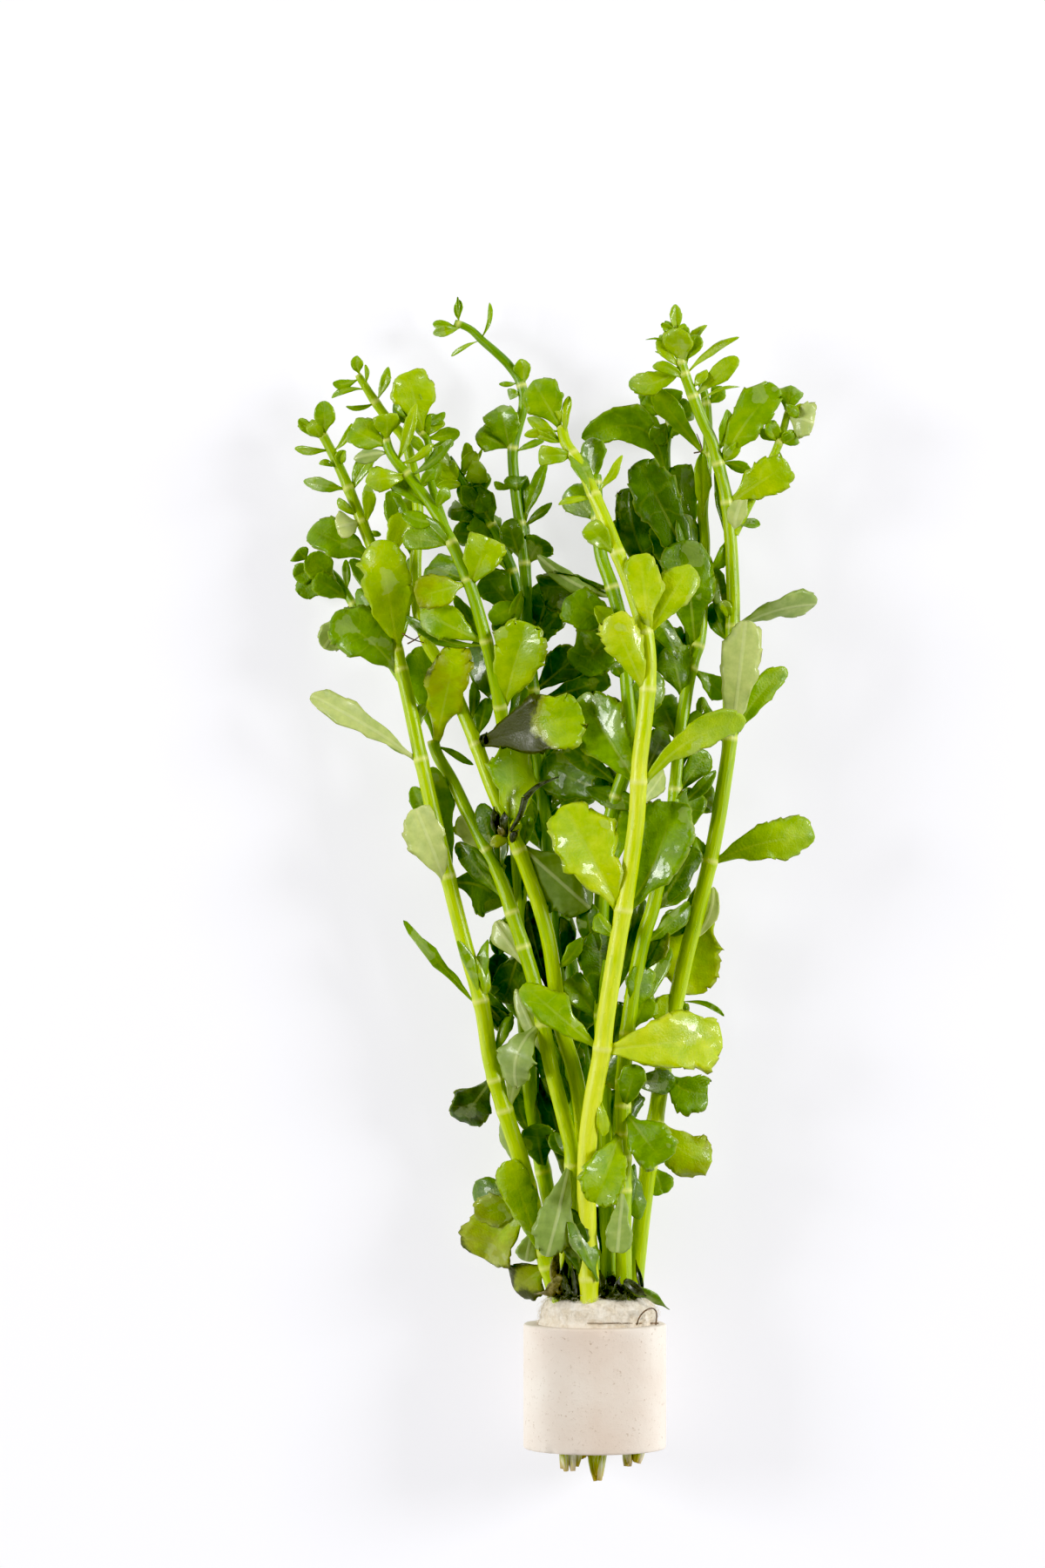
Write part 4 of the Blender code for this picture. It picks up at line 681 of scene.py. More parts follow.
# %% Leaf, underside
def leaf_underside():
    """Pale and less wet: the air in the leaf shows through, which greys the green."""
    material = bpy.data.materials.new("hyssop leaf, underside")
    material.use_nodes = True
    tree = material.node_tree
    skin = tree.nodes["Principled BSDF"]
    place = out(add_node(tree, "ShaderNodeTexCoord"), "Object")
    read = {name: out(add_node(tree, "ShaderNodeAttribute", attribute_name=name), "Fac")
            for name in ("across", "half_width", "tone")}
    mottle = out(add_node(tree, "ShaderNodeTexNoise",
                          {"Vector": place, "Scale": 500.0, "Detail": 5.0, "Roughness": 0.6}), "Fac")
    uneven = add_node(tree, "ShaderNodeMapRange", {"Value": mottle, "From Min": 0.3, "From Max": 0.7,
                                                   "To Min": -0.15, "To Max": 0.15}).outputs[0]
    tone = add_node(tree, "ShaderNodeMath", {0: read["tone"], 1: uneven}, operation="ADD").outputs[0]
    ramp = add_node(tree, "ShaderNodeValToRGB", {"Fac": tone})
    stops = ramp.color_ramp.elements
    stops[0].position, stops[0].color = 0.0, linear("#5F7A34")
    stops[1].position, stops[1].color = 1.0, linear("#C5CE7C")
    stops.new(0.5).color = linear("#8EA452")
    size = add_node(tree, "ShaderNodeMath", {0: read["across"]}, operation="ABSOLUTE").outputs[0]
    off_midrib = add_node(tree, "ShaderNodeMath", {0: size, 1: read["half_width"]},
                          operation="MULTIPLY").outputs[0]
    midrib = add_node(tree, "ShaderNodeMapRange", {"Value": off_midrib, "From Min": 0.00012,
                                                   "From Max": 0.0004, "To Min": 0.35, "To Max": 0.0},
                      interpolation_type="SMOOTHSTEP").outputs[0]
    ribbed = add_node(tree, "ShaderNodeMix", {0: midrib, "A": ramp.outputs["Color"],
                                              "B": linear("#D3DA9A")}, data_type="RGBA")
    tree.links.new(out(ribbed, "Result"), skin.inputs["Base Color"])
    skin.inputs["Roughness"].default_value = 0.48
    skin.inputs["Coat Weight"].default_value = 0.25
    skin.inputs["Coat Roughness"].default_value = 0.1
    skin.inputs["Subsurface Weight"].default_value = 0.12
    skin.inputs["Subsurface Radius"].default_value = (0.6, 1.0, 0.15)
    skin.inputs["Subsurface Scale"].default_value = 0.0008
    raised = add_node(tree, "ShaderNodeMath", {0: midrib, 1: 2.0, 2: mottle}, operation="MULTIPLY_ADD").outputs[0]
    bump = add_node(tree, "ShaderNodeBump", {"Height": raised, "Strength": 0.5, "Distance": 0.0002})
    tree.links.new(bump.outputs["Normal"], skin.inputs["Normal"])
    return material


LEAF_BACK = leaf_underside()
print(LEAF_BACK.name, "has", len(LEAF_BACK.node_tree.nodes), "nodes")

# %% [markdown]
# ## Stem skin
# The stems are smooth, round and juicy, bright yellow-green in the light and greener further
# back. One side of each stem is painted lighter and the other darker: painted light and painted
# shade. Each joint where leaves sit has a thin pale ring. The attribute knot is 1 at a joint and
# 0 between joints, and the attribute around runs once about the stem, which lets fine streaks
# follow it lengthwise and places the painted lit side.

# %% Stem
PAINTED_LIGHT_SIDE = 0.12


def stem_skin():
    """Fresh green stalk: a waxy gloss over moist flesh, with fine lengthwise streaks and one side painted lighter as
    painted light.
    """
    material = bpy.data.materials.new("hyssop stem, fresh skin")
    material.use_nodes = True
    tree = material.node_tree
    skin = tree.nodes["Principled BSDF"]
    place = out(add_node(tree, "ShaderNodeTexCoord"), "Object")
    read = {name: out(add_node(tree, "ShaderNodeAttribute", attribute_name=name), "Fac")
            for name in ("around", "along", "tone", "knot")}
    unrolled = out(add_node(tree, "ShaderNodeCombineXYZ", {"X": read["around"], "Y": read["along"]}), "Vector")
    drawn_out = out(add_node(tree, "ShaderNodeMapping", {"Vector": unrolled, "Scale": (9.0, 22.0, 1.0)}), "Vector")
    streak = out(add_node(tree, "ShaderNodeTexNoise", {"Vector": drawn_out, "Scale": 2.0, "Detail": 4.0}), "Fac")
    patch = out(add_node(tree, "ShaderNodeTexNoise", {"Vector": place, "Scale": 60.0, "Detail": 3.0}), "Fac")
    # One side of each stem is painted lighter and the opposite side darker, fixed by the around attribute: painted
    # light and painted shade.
    turn = add_node(tree, "ShaderNodeMath", {0: read["around"], 1: PAINTED_LIGHT_SIDE}, operation="SUBTRACT").outputs[0]
    away = add_node(tree, "ShaderNodeMath", {0: turn, 1: 0.5}, operation="PINGPONG").outputs[0]
    mixed = add_node(tree, "ShaderNodeMath", {0: streak, 1: patch}, operation="ADD").outputs[0]
    streaks_and_painted_light = add_node(tree, "ShaderNodeMath", {0: away, 1: -0.8, 2: mixed}, operation="MULTIPLY_ADD").outputs[0]
    uneven = add_node(tree, "ShaderNodeMapRange", {"Value": streaks_and_painted_light, "From Min": 0.45, "From Max": 1.2,
                                                   "To Min": -0.22, "To Max": 0.22}).outputs[0]
    tone = add_node(tree, "ShaderNodeMath", {0: read["tone"], 1: uneven}, operation="ADD").outputs[0]
    ramp = add_node(tree, "ShaderNodeValToRGB", {"Fac": tone})
    stops = ramp.color_ramp.elements
    stops[0].position, stops[0].color = 0.0, linear("#4F7C0A")
    stops[1].position, stops[1].color = 1.0, linear("#D6DE38")
    for position, code in ((0.35, "#84AA06"), (0.7, "#B2CA12")):
        stops.new(position).color = linear(code)
    jointed = add_node(tree, "ShaderNodeMix", {0: read["knot"], "A": ramp.outputs["Color"],
                                               "B": linear("#DDE07A")}, data_type="RGBA")
    tree.links.new(out(jointed, "Result"), skin.inputs["Base Color"])
    skin.inputs["Roughness"].default_value = 0.42
    skin.inputs["Coat Weight"].default_value = 0.15
    skin.inputs["Coat Roughness"].default_value = 0.22
    skin.inputs["Subsurface Weight"].default_value = 0.2
    skin.inputs["Subsurface Radius"].default_value = (1.0, 1.0, 0.2)
    skin.inputs["Subsurface Scale"].default_value = 0.0012
    glands = out(add_node(tree, "ShaderNodeTexVoronoi", {"Vector": place, "Scale": 1500.0}), "Distance")
    dots = add_node(tree, "ShaderNodeMapRange", {"Value": glands, "From Min": 0.0, "From Max": 0.25,
                                                 "To Min": 1.0, "To Max": 0.0}).outputs[0]
    relief = add_node(tree, "ShaderNodeMath", {0: streak, 1: 2.0, 2: dots}, operation="MULTIPLY_ADD").outputs[0]
    bump = add_node(tree, "ShaderNodeBump", {"Height": relief, "Strength": 0.4, "Distance": 0.00015})
    tree.links.new(bump.outputs["Normal"], skin.inputs["Normal"])
    return material


STEM_SKIN = stem_skin()
print(STEM_SKIN.name, "has", len(STEM_SKIN.node_tree.nodes), "nodes")

# %% [markdown]
# ## Turning lines into stems and leaves
# Both trees below start from a mesh of bare lines. Each point of a line carries numbers, such as
# the radius there, and Mesh to Curve hands them on to a curve. Curve to Mesh then sweeps a
# profile along it: a circle makes a stem, and an open, slightly cupped line makes a leaf. That
# way a hundred and fifty leaves of all sizes come from one small tree.

# %% Lines with numbers on their points
def line_mesh(name, strands):
    """Bare lines as one mesh. A strand is (points, {attribute name: one number per point})."""
    points = []
    edges = []
    for places, _ in strands:
        first = len(points)
        points += [tuple(place) for place in places]
        edges += [(first + i, first + i + 1) for i in range(len(places) - 1)]
    mesh = bpy.data.meshes.new(name)
    mesh.from_pydata(points, edges, [])
    for key in strands[0][1]:
        values = np.concatenate([numbers[key] for _, numbers in strands]).astype(np.float32)
        mesh.attributes.new(key, "FLOAT", "POINT").data.foreach_set("value", values)
    return mesh


def grow(name, mesh, group, values):
    """Run a node tree on a mesh and keep the result as a plain mesh."""
    piece = bpy.data.objects.new(name, mesh)
    bpy.context.scene.collection.objects.link(piece)
    step = piece.modifiers.new("grow", "NODES")
    step.node_group = group
    for item in group.interface.items_tree:
        if item.item_type == "SOCKET" and item.in_out == "INPUT" and item.name in values:
            step[item.identifier] = values[item.name]
    graph = bpy.context.evaluated_depsgraph_get()
    finished = bpy.data.meshes.new_from_object(piece.evaluated_get(graph))
    piece.modifiers.clear()
    piece.data = finished
    finished.name = name
    bpy.data.meshes.remove(mesh)
    return piece


print("a strand is a line and its numbers")

# %% The stem tree
def new_group(name, sizes):
    """A node tree for a modifier, with a geometry going in and out and named inputs."""
    group = bpy.data.node_groups.new(name, "GeometryNodeTree")
    group.interface.new_socket("Geometry", in_out="INPUT", socket_type="NodeSocketGeometry")
    group.interface.new_socket("Geometry", in_out="OUTPUT", socket_type="NodeSocketGeometry")
    for label, (kind, value) in sizes.items():
        socket = group.interface.new_socket(label, in_out="INPUT", socket_type=kind)
        if value is not None:
            socket.default_value = value
    return group, add_node(group, "NodeGroupInput"), add_node(group, "NodeGroupOutput")


def stem_tree():
    """Sweeps a circle along each line, as thick as the line's radius says."""
    tree, given, result = new_group("stem along a line", {
        "Sides": ("NodeSocketInt", 16), "Material": ("NodeSocketMaterial", None)})
    radius = out(add_node(tree, "GeometryNodeInputNamedAttribute", {"Name": "radius"}, data_type="FLOAT"),
                 "Attribute")
    curve = add_node(tree, "GeometryNodeMeshToCurve", {"Mesh": given.outputs["Geometry"]})
    share = out(add_node(tree, "GeometryNodeSplineParameter"), "Factor")
    marked = add_node(tree, "GeometryNodeStoreNamedAttribute",
                      {"Geometry": curve.outputs["Curve"], "Name": "along", "Value": share},
                      data_type="FLOAT", domain="POINT")
    circle = add_node(tree, "GeometryNodeCurvePrimitiveCircle", {"Resolution": given.outputs["Sides"],
                                                                 "Radius": 1.0})
    turn = out(add_node(tree, "GeometryNodeSplineParameter"), "Factor")
    rim = add_node(tree, "GeometryNodeStoreNamedAttribute",
                   {"Geometry": circle.outputs["Curve"], "Name": "around", "Value": turn},
                   data_type="FLOAT", domain="POINT")
    swept = add_node(tree, "GeometryNodeCurveToMesh",
                     {"Curve": marked.outputs["Geometry"], "Profile Curve": rim.outputs["Geometry"],
                      "Scale": radius, "Fill Caps": True})
    smooth = add_node(tree, "GeometryNodeSetShadeSmooth", {"Geometry": swept.outputs["Mesh"]})
    real = add_node(tree, "GeometryNodeRealizeInstances", {"Geometry": smooth.outputs["Geometry"]})
    painted = add_node(tree, "GeometryNodeSetMaterial", {"Geometry": real.outputs["Geometry"],
                                                         "Material": given.outputs["Material"]})
    tree.links.new(painted.outputs["Geometry"], result.inputs["Geometry"])
    return tree


STEM_TREE = stem_tree()
print("stem tree:", len(STEM_TREE.nodes), "nodes")

# %% The leaf tree
def blade_tree():
    """Sweeps a cupped line along each midrib, pulls its sides forward and makes it two plump sides."""
    tree, given, result = new_group("leaf along its midrib", {
        "Points across": ("NodeSocketInt", 9), "Cup": ("NodeSocketFloat", 0.2),
        "Wave height": ("NodeSocketFloat", 0.0004), "Thickness": ("NodeSocketFloat", 0.0003),
        "Upper side": ("NodeSocketMaterial", None), "Underside": ("NodeSocketMaterial", None)})

    def number(name, kind="FLOAT"):
        return out(add_node(tree, "GeometryNodeInputNamedAttribute", {"Name": name}, data_type=kind),
                   "Attribute")

    curve = add_node(tree, "GeometryNodeMeshToCurve", {"Mesh": given.outputs["Geometry"]})
    upright = add_node(tree, "GeometryNodeSetCurveNormal", {"Curve": curve.outputs["Curve"]}, mode="Z_UP")
    rolled = add_node(tree, "GeometryNodeSetCurveTilt", {"Curve": upright.outputs["Curve"],
                                                         "Tilt": number("roll")})
    share = out(add_node(tree, "GeometryNodeSplineParameter"), "Factor")
    marked = add_node(tree, "GeometryNodeStoreNamedAttribute",
                      {"Geometry": rolled.outputs["Curve"], "Name": "along", "Value": share},
                      data_type="FLOAT", domain="POINT")
    tangent = out(add_node(tree, "GeometryNodeInputTangent"), "Tangent")
    headed = add_node(tree, "GeometryNodeStoreNamedAttribute",
                      {"Geometry": marked.outputs["Geometry"], "Name": "heading", "Value": tangent},
                      data_type="FLOAT_VECTOR", domain="POINT")

    flat = add_node(tree, "GeometryNodeCurvePrimitiveLine", {"Start": (-1, 0, 0), "End": (1, 0, 0)})
    knots = add_node(tree, "GeometryNodeResampleCurve", {"Curve": flat.outputs["Curve"],
                                                         "Count": given.outputs["Points across"]})
    spot = out(add_node(tree, "GeometryNodeInputPosition"), "Position")
    side = out(add_node(tree, "ShaderNodeSeparateXYZ", {"Vector": spot}), "X")
    apart = add_node(tree, "ShaderNodeMath", {0: side}, operation="ABSOLUTE").outputs[0]
    rounded = add_node(tree, "ShaderNodeMath", {0: apart, 1: 1.5}, operation="POWER").outputs[0]
    rise = add_node(tree, "ShaderNodeMath", {0: rounded, 1: given.outputs["Cup"]},
                    operation="MULTIPLY").outputs[0]
    lifted = out(add_node(tree, "ShaderNodeCombineXYZ", {"Y": rise}), "Vector")
    named = add_node(tree, "GeometryNodeStoreNamedAttribute",
                     {"Geometry": knots.outputs["Curve"], "Name": "across", "Value": side},
                     data_type="FLOAT", domain="POINT")
    cupped = add_node(tree, "GeometryNodeSetPosition", {"Geometry": named.outputs["Geometry"],
                                                        "Offset": lifted})
    swept = add_node(tree, "GeometryNodeCurveToMesh",
                     {"Curve": headed.outputs["Geometry"], "Profile Curve": cupped.outputs["Geometry"],
                      "Scale": number("half_width"), "Fill Caps": False})

    out_share = add_node(tree, "ShaderNodeMath", {0: number("across")}, operation="ABSOLUTE").outputs[0]
    bent = add_node(tree, "ShaderNodeMath", {0: out_share, 1: 1.3}, operation="POWER").outputs[0]
    forward = add_node(tree, "ShaderNodeMath", {0: bent, 1: number("reach")}, operation="MULTIPLY").outputs[0]
    pull = add_node(tree, "ShaderNodeVectorMath", {0: number("heading", "FLOAT_VECTOR"), "Scale": forward},
                    operation="SCALE")
    toothed = add_node(tree, "GeometryNodeSetPosition", {"Geometry": swept.outputs["Mesh"],
                                                         "Offset": pull.outputs["Vector"]})

    waves = add_node(tree, "ShaderNodeTexNoise", {"Scale": 260.0, "Detail": 1.0})
    centred = add_node(tree, "ShaderNodeMath", {0: out(waves, "Fac"), 1: 0.5}, operation="SUBTRACT").outputs[0]
    edge = add_node(tree, "ShaderNodeMath", {0: out_share, 1: 2.0}, operation="POWER").outputs[0]
    sized = add_node(tree, "ShaderNodeMath", {0: centred, 1: given.outputs["Wave height"]},
                     operation="MULTIPLY").outputs[0]
    curled = add_node(tree, "ShaderNodeMath", {0: sized, 1: number("curl")}, operation="ADD").outputs[0]
    waving = add_node(tree, "ShaderNodeMath", {0: curled, 1: edge}, operation="MULTIPLY").outputs[0]
    amount = add_node(tree, "ShaderNodeMath", {0: out_share, 1: number("fold"), 2: waving},
                      operation="MULTIPLY_ADD").outputs[0]
    facing = out(add_node(tree, "GeometryNodeInputNormal"), "Normal")
    push = add_node(tree, "ShaderNodeVectorMath", {0: facing, "Scale": amount}, operation="SCALE")
    aside = add_node(tree, "ShaderNodeVectorMath", {0: out(waves, "Color"), 1: (0.5, 0.5, 0.5)},
                     operation="SUBTRACT").outputs["Vector"]
    rim_width = add_node(tree, "ShaderNodeMath", {0: edge, 1: number("half_width")},
                         operation="MULTIPLY").outputs[0]
    uneven = add_node(tree, "ShaderNodeVectorMath", {0: aside, "Scale": rim_width}, operation="SCALE")
    shift = add_node(tree, "ShaderNodeVectorMath", {0: push.outputs["Vector"], 1: uneven.outputs["Vector"]},
                     operation="ADD")
    waved = add_node(tree, "GeometryNodeSetPosition", {"Geometry": toothed.outputs["Geometry"],
                                                       "Offset": shift.outputs["Vector"]})

    inward = add_node(tree, "ShaderNodeMath", {0: edge, 1: -1.0, 2: 1.0}, operation="MULTIPLY_ADD").outputs[0]
    bulge = add_node(tree, "ShaderNodeMath", {0: inward}, operation="SQRT").outputs[0]
    slim = add_node(tree, "ShaderNodeMath", {0: number("half_width"), 1: 0.5}, operation="MULTIPLY").outputs[0]
    thick = add_node(tree, "ShaderNodeMath", {0: given.outputs["Thickness"], 1: slim},
                     operation="MINIMUM").outputs[0]
    opening = add_node(tree, "ShaderNodeMapRange", {"Value": number("along"), "From Max": 0.04}).outputs[0]
    deep = add_node(tree, "ShaderNodeMath", {0: thick, 1: opening}, operation="MULTIPLY").outputs[0]
    plump = add_node(tree, "ShaderNodeMath", {0: bulge, 1: deep}, operation="MULTIPLY").outputs[0]
    both = add_node(tree, "GeometryNodeJoinGeometry")
    for outwards, is_back in ((0.5, False), (-0.5, True)):
        depth = add_node(tree, "ShaderNodeMath", {0: plump, 1: outwards}, operation="MULTIPLY").outputs[0]
        step = add_node(tree, "ShaderNodeVectorMath", {0: facing, "Scale": depth}, operation="SCALE")
        shell = add_node(tree, "GeometryNodeSetPosition", {"Geometry": waved.outputs["Geometry"],
                                                           "Offset": step.outputs["Vector"]})
        if is_back:
            shell = add_node(tree, "GeometryNodeFlipFaces", {"Mesh": shell.outputs["Geometry"]})
        named_side = add_node(tree, "GeometryNodeStoreNamedAttribute",
                              {"Geometry": shell.outputs[0], "Name": "back", "Value": is_back},
                              data_type="BOOLEAN", domain="FACE")
        tree.links.new(named_side.outputs["Geometry"], both.inputs["Geometry"])
    closed = add_node(tree, "GeometryNodeMergeByDistance", {"Geometry": both.outputs["Geometry"],
                                                            "Distance": 0.00001})
    smooth = add_node(tree, "GeometryNodeSetShadeSmooth", {"Geometry": closed.outputs["Geometry"]})
    real = add_node(tree, "GeometryNodeRealizeInstances", {"Geometry": smooth.outputs["Geometry"]})
    topped = add_node(tree, "GeometryNodeSetMaterial", {"Geometry": real.outputs["Geometry"],
                                                        "Material": given.outputs["Upper side"]})
    painted = add_node(tree, "GeometryNodeSetMaterial",
                       {"Geometry": topped.outputs["Geometry"], "Selection": number("back", "BOOLEAN"),
                        "Material": given.outputs["Underside"]})
    tree.links.new(painted.outputs["Geometry"], result.inputs["Geometry"])
    return tree


BLADE_TREE = blade_tree()
print("leaf tree:", len(BLADE_TREE.nodes), "nodes")

# %% [markdown]
# ## The outline of a leaf
# Water hyssop leaves are spoon-shaped: narrow where they leave the stem, broadest past the
# middle, round at the end, with a few very shallow teeth that point forward. The outline is
# worked out as shares of the leaf's length and width, so it fits leaves of every size.

# %% Outline of a leaf
STATION_OF_WIDEST = 0.6
PETIOLE_SHARE = 0.15
TEETH_START = 0.4
RIB_SLANT = 0.45
BASE_STATIONS = 9
TOOTH_STATIONS = (0.04, 0.35, 0.7, 0.96)
SMALL_LEAF = 24


def blade_outline(teeth, depth, widest_at, bluntness):
    """Rows of (growth, place along the midrib, place on the margin, half width), as shares."""
    stations = [TEETH_START * i / BASE_STATIONS for i in range(BASE_STATIONS)]
    step = (1 - TEETH_START) / teeth
    for tooth in range(teeth):
        stations += [TEETH_START + step * (tooth + share) for share in TOOTH_STATIONS]
    rows = []
    for s in stations + [1.0]:
        into_tooth = ((s - TEETH_START) / step) % 1 if TEETH_START < s < 1 else 1
        notch = 1 - depth * (1 - into_tooth) * min(1, 6 * (1 - s))
        if s < STATION_OF_WIDEST:
            grown = s / STATION_OF_WIDEST
            half = PETIOLE_SHARE + (1 - PETIOLE_SHARE) * math.sin(math.pi / 2 * grown) ** 1.7
            rows.append((grown, widest_at * grown, widest_at * grown, half * notch))
        else:
            angle = math.pi / 2 * (s - STATION_OF_WIDEST) / (1 - STATION_OF_WIDEST)
            half = max(0.0, math.cos(angle)) ** bluntness
            past = (1 - widest_at) * math.sin(angle) ** 0.9
            rows.append((1, widest_at + past, widest_at + past * notch, half * notch))
    return rows


print("rows of points in a leaf with four teeth a side:", len(blade_outline(4, 0.05, 0.68, 0.65)))

# %% A leaf's midrib and its numbers
ROT_ENDS_AT = 0.6


def tip_height(node, column, row):
    """The height in mm of the point of a solid that shows nearest to a column and row."""
    mesh = frame["nodes"][node].data
    places = np.zeros(len(mesh.vertices) * 3)
    mesh.vertices.foreach_get("co", places)
    places = places.reshape(-1, 3)
    scale = PIXEL * (EYE_HEIGHT - places[:, 2]) / (EYE_HEIGHT - AXIS_HEIGHT)
    columns = COLUMNS / 2 + (places[:, 0] - VIEW_X) / scale
    rows = ROWS / 2 - (places[:, 1] - VIEW_Y) / scale
    nearest = np.argmin((columns - column) ** 2 + (rows - row) ** 2)
    return places[nearest, 2] / MM


def leaf_strand(stem, row, tip_column, tip_row, width, roll, arch, sway, tone, decay, height, seed):
    """The midrib of one leaf, from inside its stem to its tip, with the numbers on it."""
    axis, radius, growing = on_line(lines[stem], row)
    tip = at(tip_column, tip_row, height)
    outward = tip - axis
    outward = (outward - growing * outward.dot(growing)).normalized()
    start = axis + outward * radius * 0.6
    chord = tip - start
    length = chord.length
    plan_side = chord.cross(Vector((0, 0, 1))).normalized()
    whim = noise.random_vector
    noise.seed_set(seed)
    bend, twist, curl = whim()
    shape, loose, crease = whim()
    is_small = width < SMALL_LEAF
    if is_small:
        sway += 0.12 * twist * length / PIXEL
    lift = Vector((0, 0, arch * MM)) + plan_side * sway * PIXEL
    if roll is None:
        roll = 30 * loose
    half_width = width * PIXEL / 2 / max(0.35, math.cos(math.radians(roll)))
    teeth = min(5, max(2, round(width / 11)))
    depth = 0.07 + 0.03 * whim()[0]
    widest_at, bluntness, keel = (0.6, 1.1, 0.3) if is_small else (0.68, 0.76, 0.12)
    strand = []
    numbers = {key: [] for key in ("half_width", "reach", "roll", "curl", "fold", "tone", "decay")}
    slant = RIB_SLANT * half_width / length
    outline = blade_outline(teeth, depth, widest_at + 0.06 * shape, bluntness - 0.14 * bend)
    for grown, plain, margin, half in outline:
        rib = max(0.0, plain - slant * grown * half)
        place = start + chord * rib + lift * 4 * rib * (1 - rib)
        place.z -= 0.05 * bend * length * math.sin(math.pi * rib) * (rib - 0.5) * 4
        strand.append(place)
        numbers["half_width"].append(half_width * half)
        numbers["reach"].append((margin - rib) * length)
        turned = 180 if tone < 0 else 0
        numbers["roll"].append(math.radians(roll + turned + 16 * twist * rib))
        numbers["curl"].append(half_width * half * (0.05 + 0.3 * curl * rib))
        numbers["fold"].append(half_width * half * max(0.0, keel + 0.3 * crease))
        numbers["tone"].append(abs(tone))
        rotten_half = min(1.0, max(0.0, 2.5 * (ROT_ENDS_AT - plain) + 0.5))
        numbers["decay"].append(-decay * rotten_half if decay < 0 else decay * (0.7 + 0.6 * plain))
    return strand, numbers


print("tip of the topmost leaf stands at", round(tip_height("leaf_01", 640, 932), 1), "mm")

# %% [markdown]
# ## Growing the large leaves
# Each large leaf is a piece of its own and stands for its solid. The seed of its small bends
# and twists is its number, so the bunch comes out the same every time.

# %% Large leaves
def grow_leaves(name, strands, node):
    """Leaves from their strands, as one piece that stands for a solid."""
    piece = grow(name, line_mesh("midribs", strands), BLADE_TREE, LEAF_SIZES)
    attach(piece, "root")
    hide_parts(node)
    return piece


LEAF_SIZES = {"Points across": 11, "Cup": 0.12, "Wave height": 0.0016, "Thickness": 0.00042,
              "Upper side": LEAF_TOP, "Underside": LEAF_BACK}
for number, (name, (stem, row, tip_column, tip_row, *rest)) in enumerate(LARGE_LEAVES.items(), 1):
    height = tip_height(name, tip_column, tip_row)
    strand = leaf_strand(stem, row, tip_column, tip_row, *rest, height, number)
    leaf = grow_leaves(name + "_blade", [strand], name)
print("large leaves:", len(LARGE_LEAVES), "with", len(leaf.data.polygons), "faces on the last one")

# %% [markdown]
# ## Stems with their small leaves
# A stem is a tube that swells a little at each joint. The joints are where its leaves sit, so
# they are collected from the leaf tables. The small leaves of a stem are one more piece, and both
# stand for the stem's solid.

# %% Stems
LOOSE = None
KNOT_SWELLING = 0.10
KNOT_REACH = 0.0010
KNOT_RING_REACH = 0.00028
SAME_JOINT_ROWS = 12


def joint_rows(stem):
    """The rows of a stem's joints: where its leaves sit, with neighbours taken as one pair."""
    rows = [leaf[1] for leaf in LARGE_LEAVES.values() if leaf[0] == stem]
    rows += [leaf[0] for leaf in GROWN_LEAVES[stem]]
    joints = []
    for row in sorted(rows):
        if not joints or row - joints[-1] > SAME_JOINT_ROWS:
            joints.append(row)
    return joints


def stem_strand(name, tone):
    """A stem's line with its radius, its tone and its joints, down to where the ring ends."""
    kept = sum(row_of(point) < RING_FOOT_ROW for point in lines[name][0])
    points, radii = (numbers[:kept] for numbers in lines[name])
    places = np.array(points)
    joints = np.array([on_line(lines[name], row)[0] for row in joint_rows(name)])
    gap = np.linalg.norm(places[:, None] - joints[None], axis=2).min(axis=1)
    radius = np.array(radii) * (1 + KNOT_SWELLING * np.exp(-(gap / KNOT_REACH) ** 2))
    knot = np.exp(-(gap / KNOT_RING_REACH) ** 2) * 0.8
    share = np.linspace(0, 1, len(points))
    return points, {"radius": radius, "knot": knot, "tone": tone * (0.72 + 0.28 * np.minimum(1, share * 2))}


for number, name in enumerate(lines, 1):
    look = STEMS[name] if name in STEMS else SHOOTS[name]
    mesh = line_mesh("stem_line", [stem_strand(name, look["tone"])])
    stem = grow(name + "_skin", mesh, STEM_TREE, {"Sides": 14, "Material": STEM_SKIN})
    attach(stem, "root")
    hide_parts(name)
    strands = []
    for k, (row, tip_column, tip_row, width, arch, sway, tone, decay) in enumerate(GROWN_LEAVES[name]):
        height = tip_height(name, tip_column, tip_row)
        strands.append(leaf_strand(name, row, tip_column, tip_row, width, LOOSE, arch, sway, tone, decay,
                                   height, 100 * number + k))
    for k, (row, tip_column, tip_row, width, rise, tone, decay) in enumerate(SLIVERS.get(name, ())):
        height = on_line(lines[name], row)[0].z / MM + rise
        strands.append(leaf_strand(name, row, tip_column, tip_row, width, LOOSE, 0.6, 0, tone, decay,
                                   height, 100 * number + 50 + k))
    leaves = grow_leaves(name + "_leaves", strands, name)
print("stems and shoots:", len(lines), "joints on stem_08:", len(joint_rows("stem_08")))

# %% [markdown]
# ## The ceramic ring
# The ring is bisque: clay fired without a glaze, so it is matt, warm white and finely grained,
# with small chips on its rims. It is turned from a profile, as a potter's lathe would do it, and
# the rims are roughened by moving their points with noise.

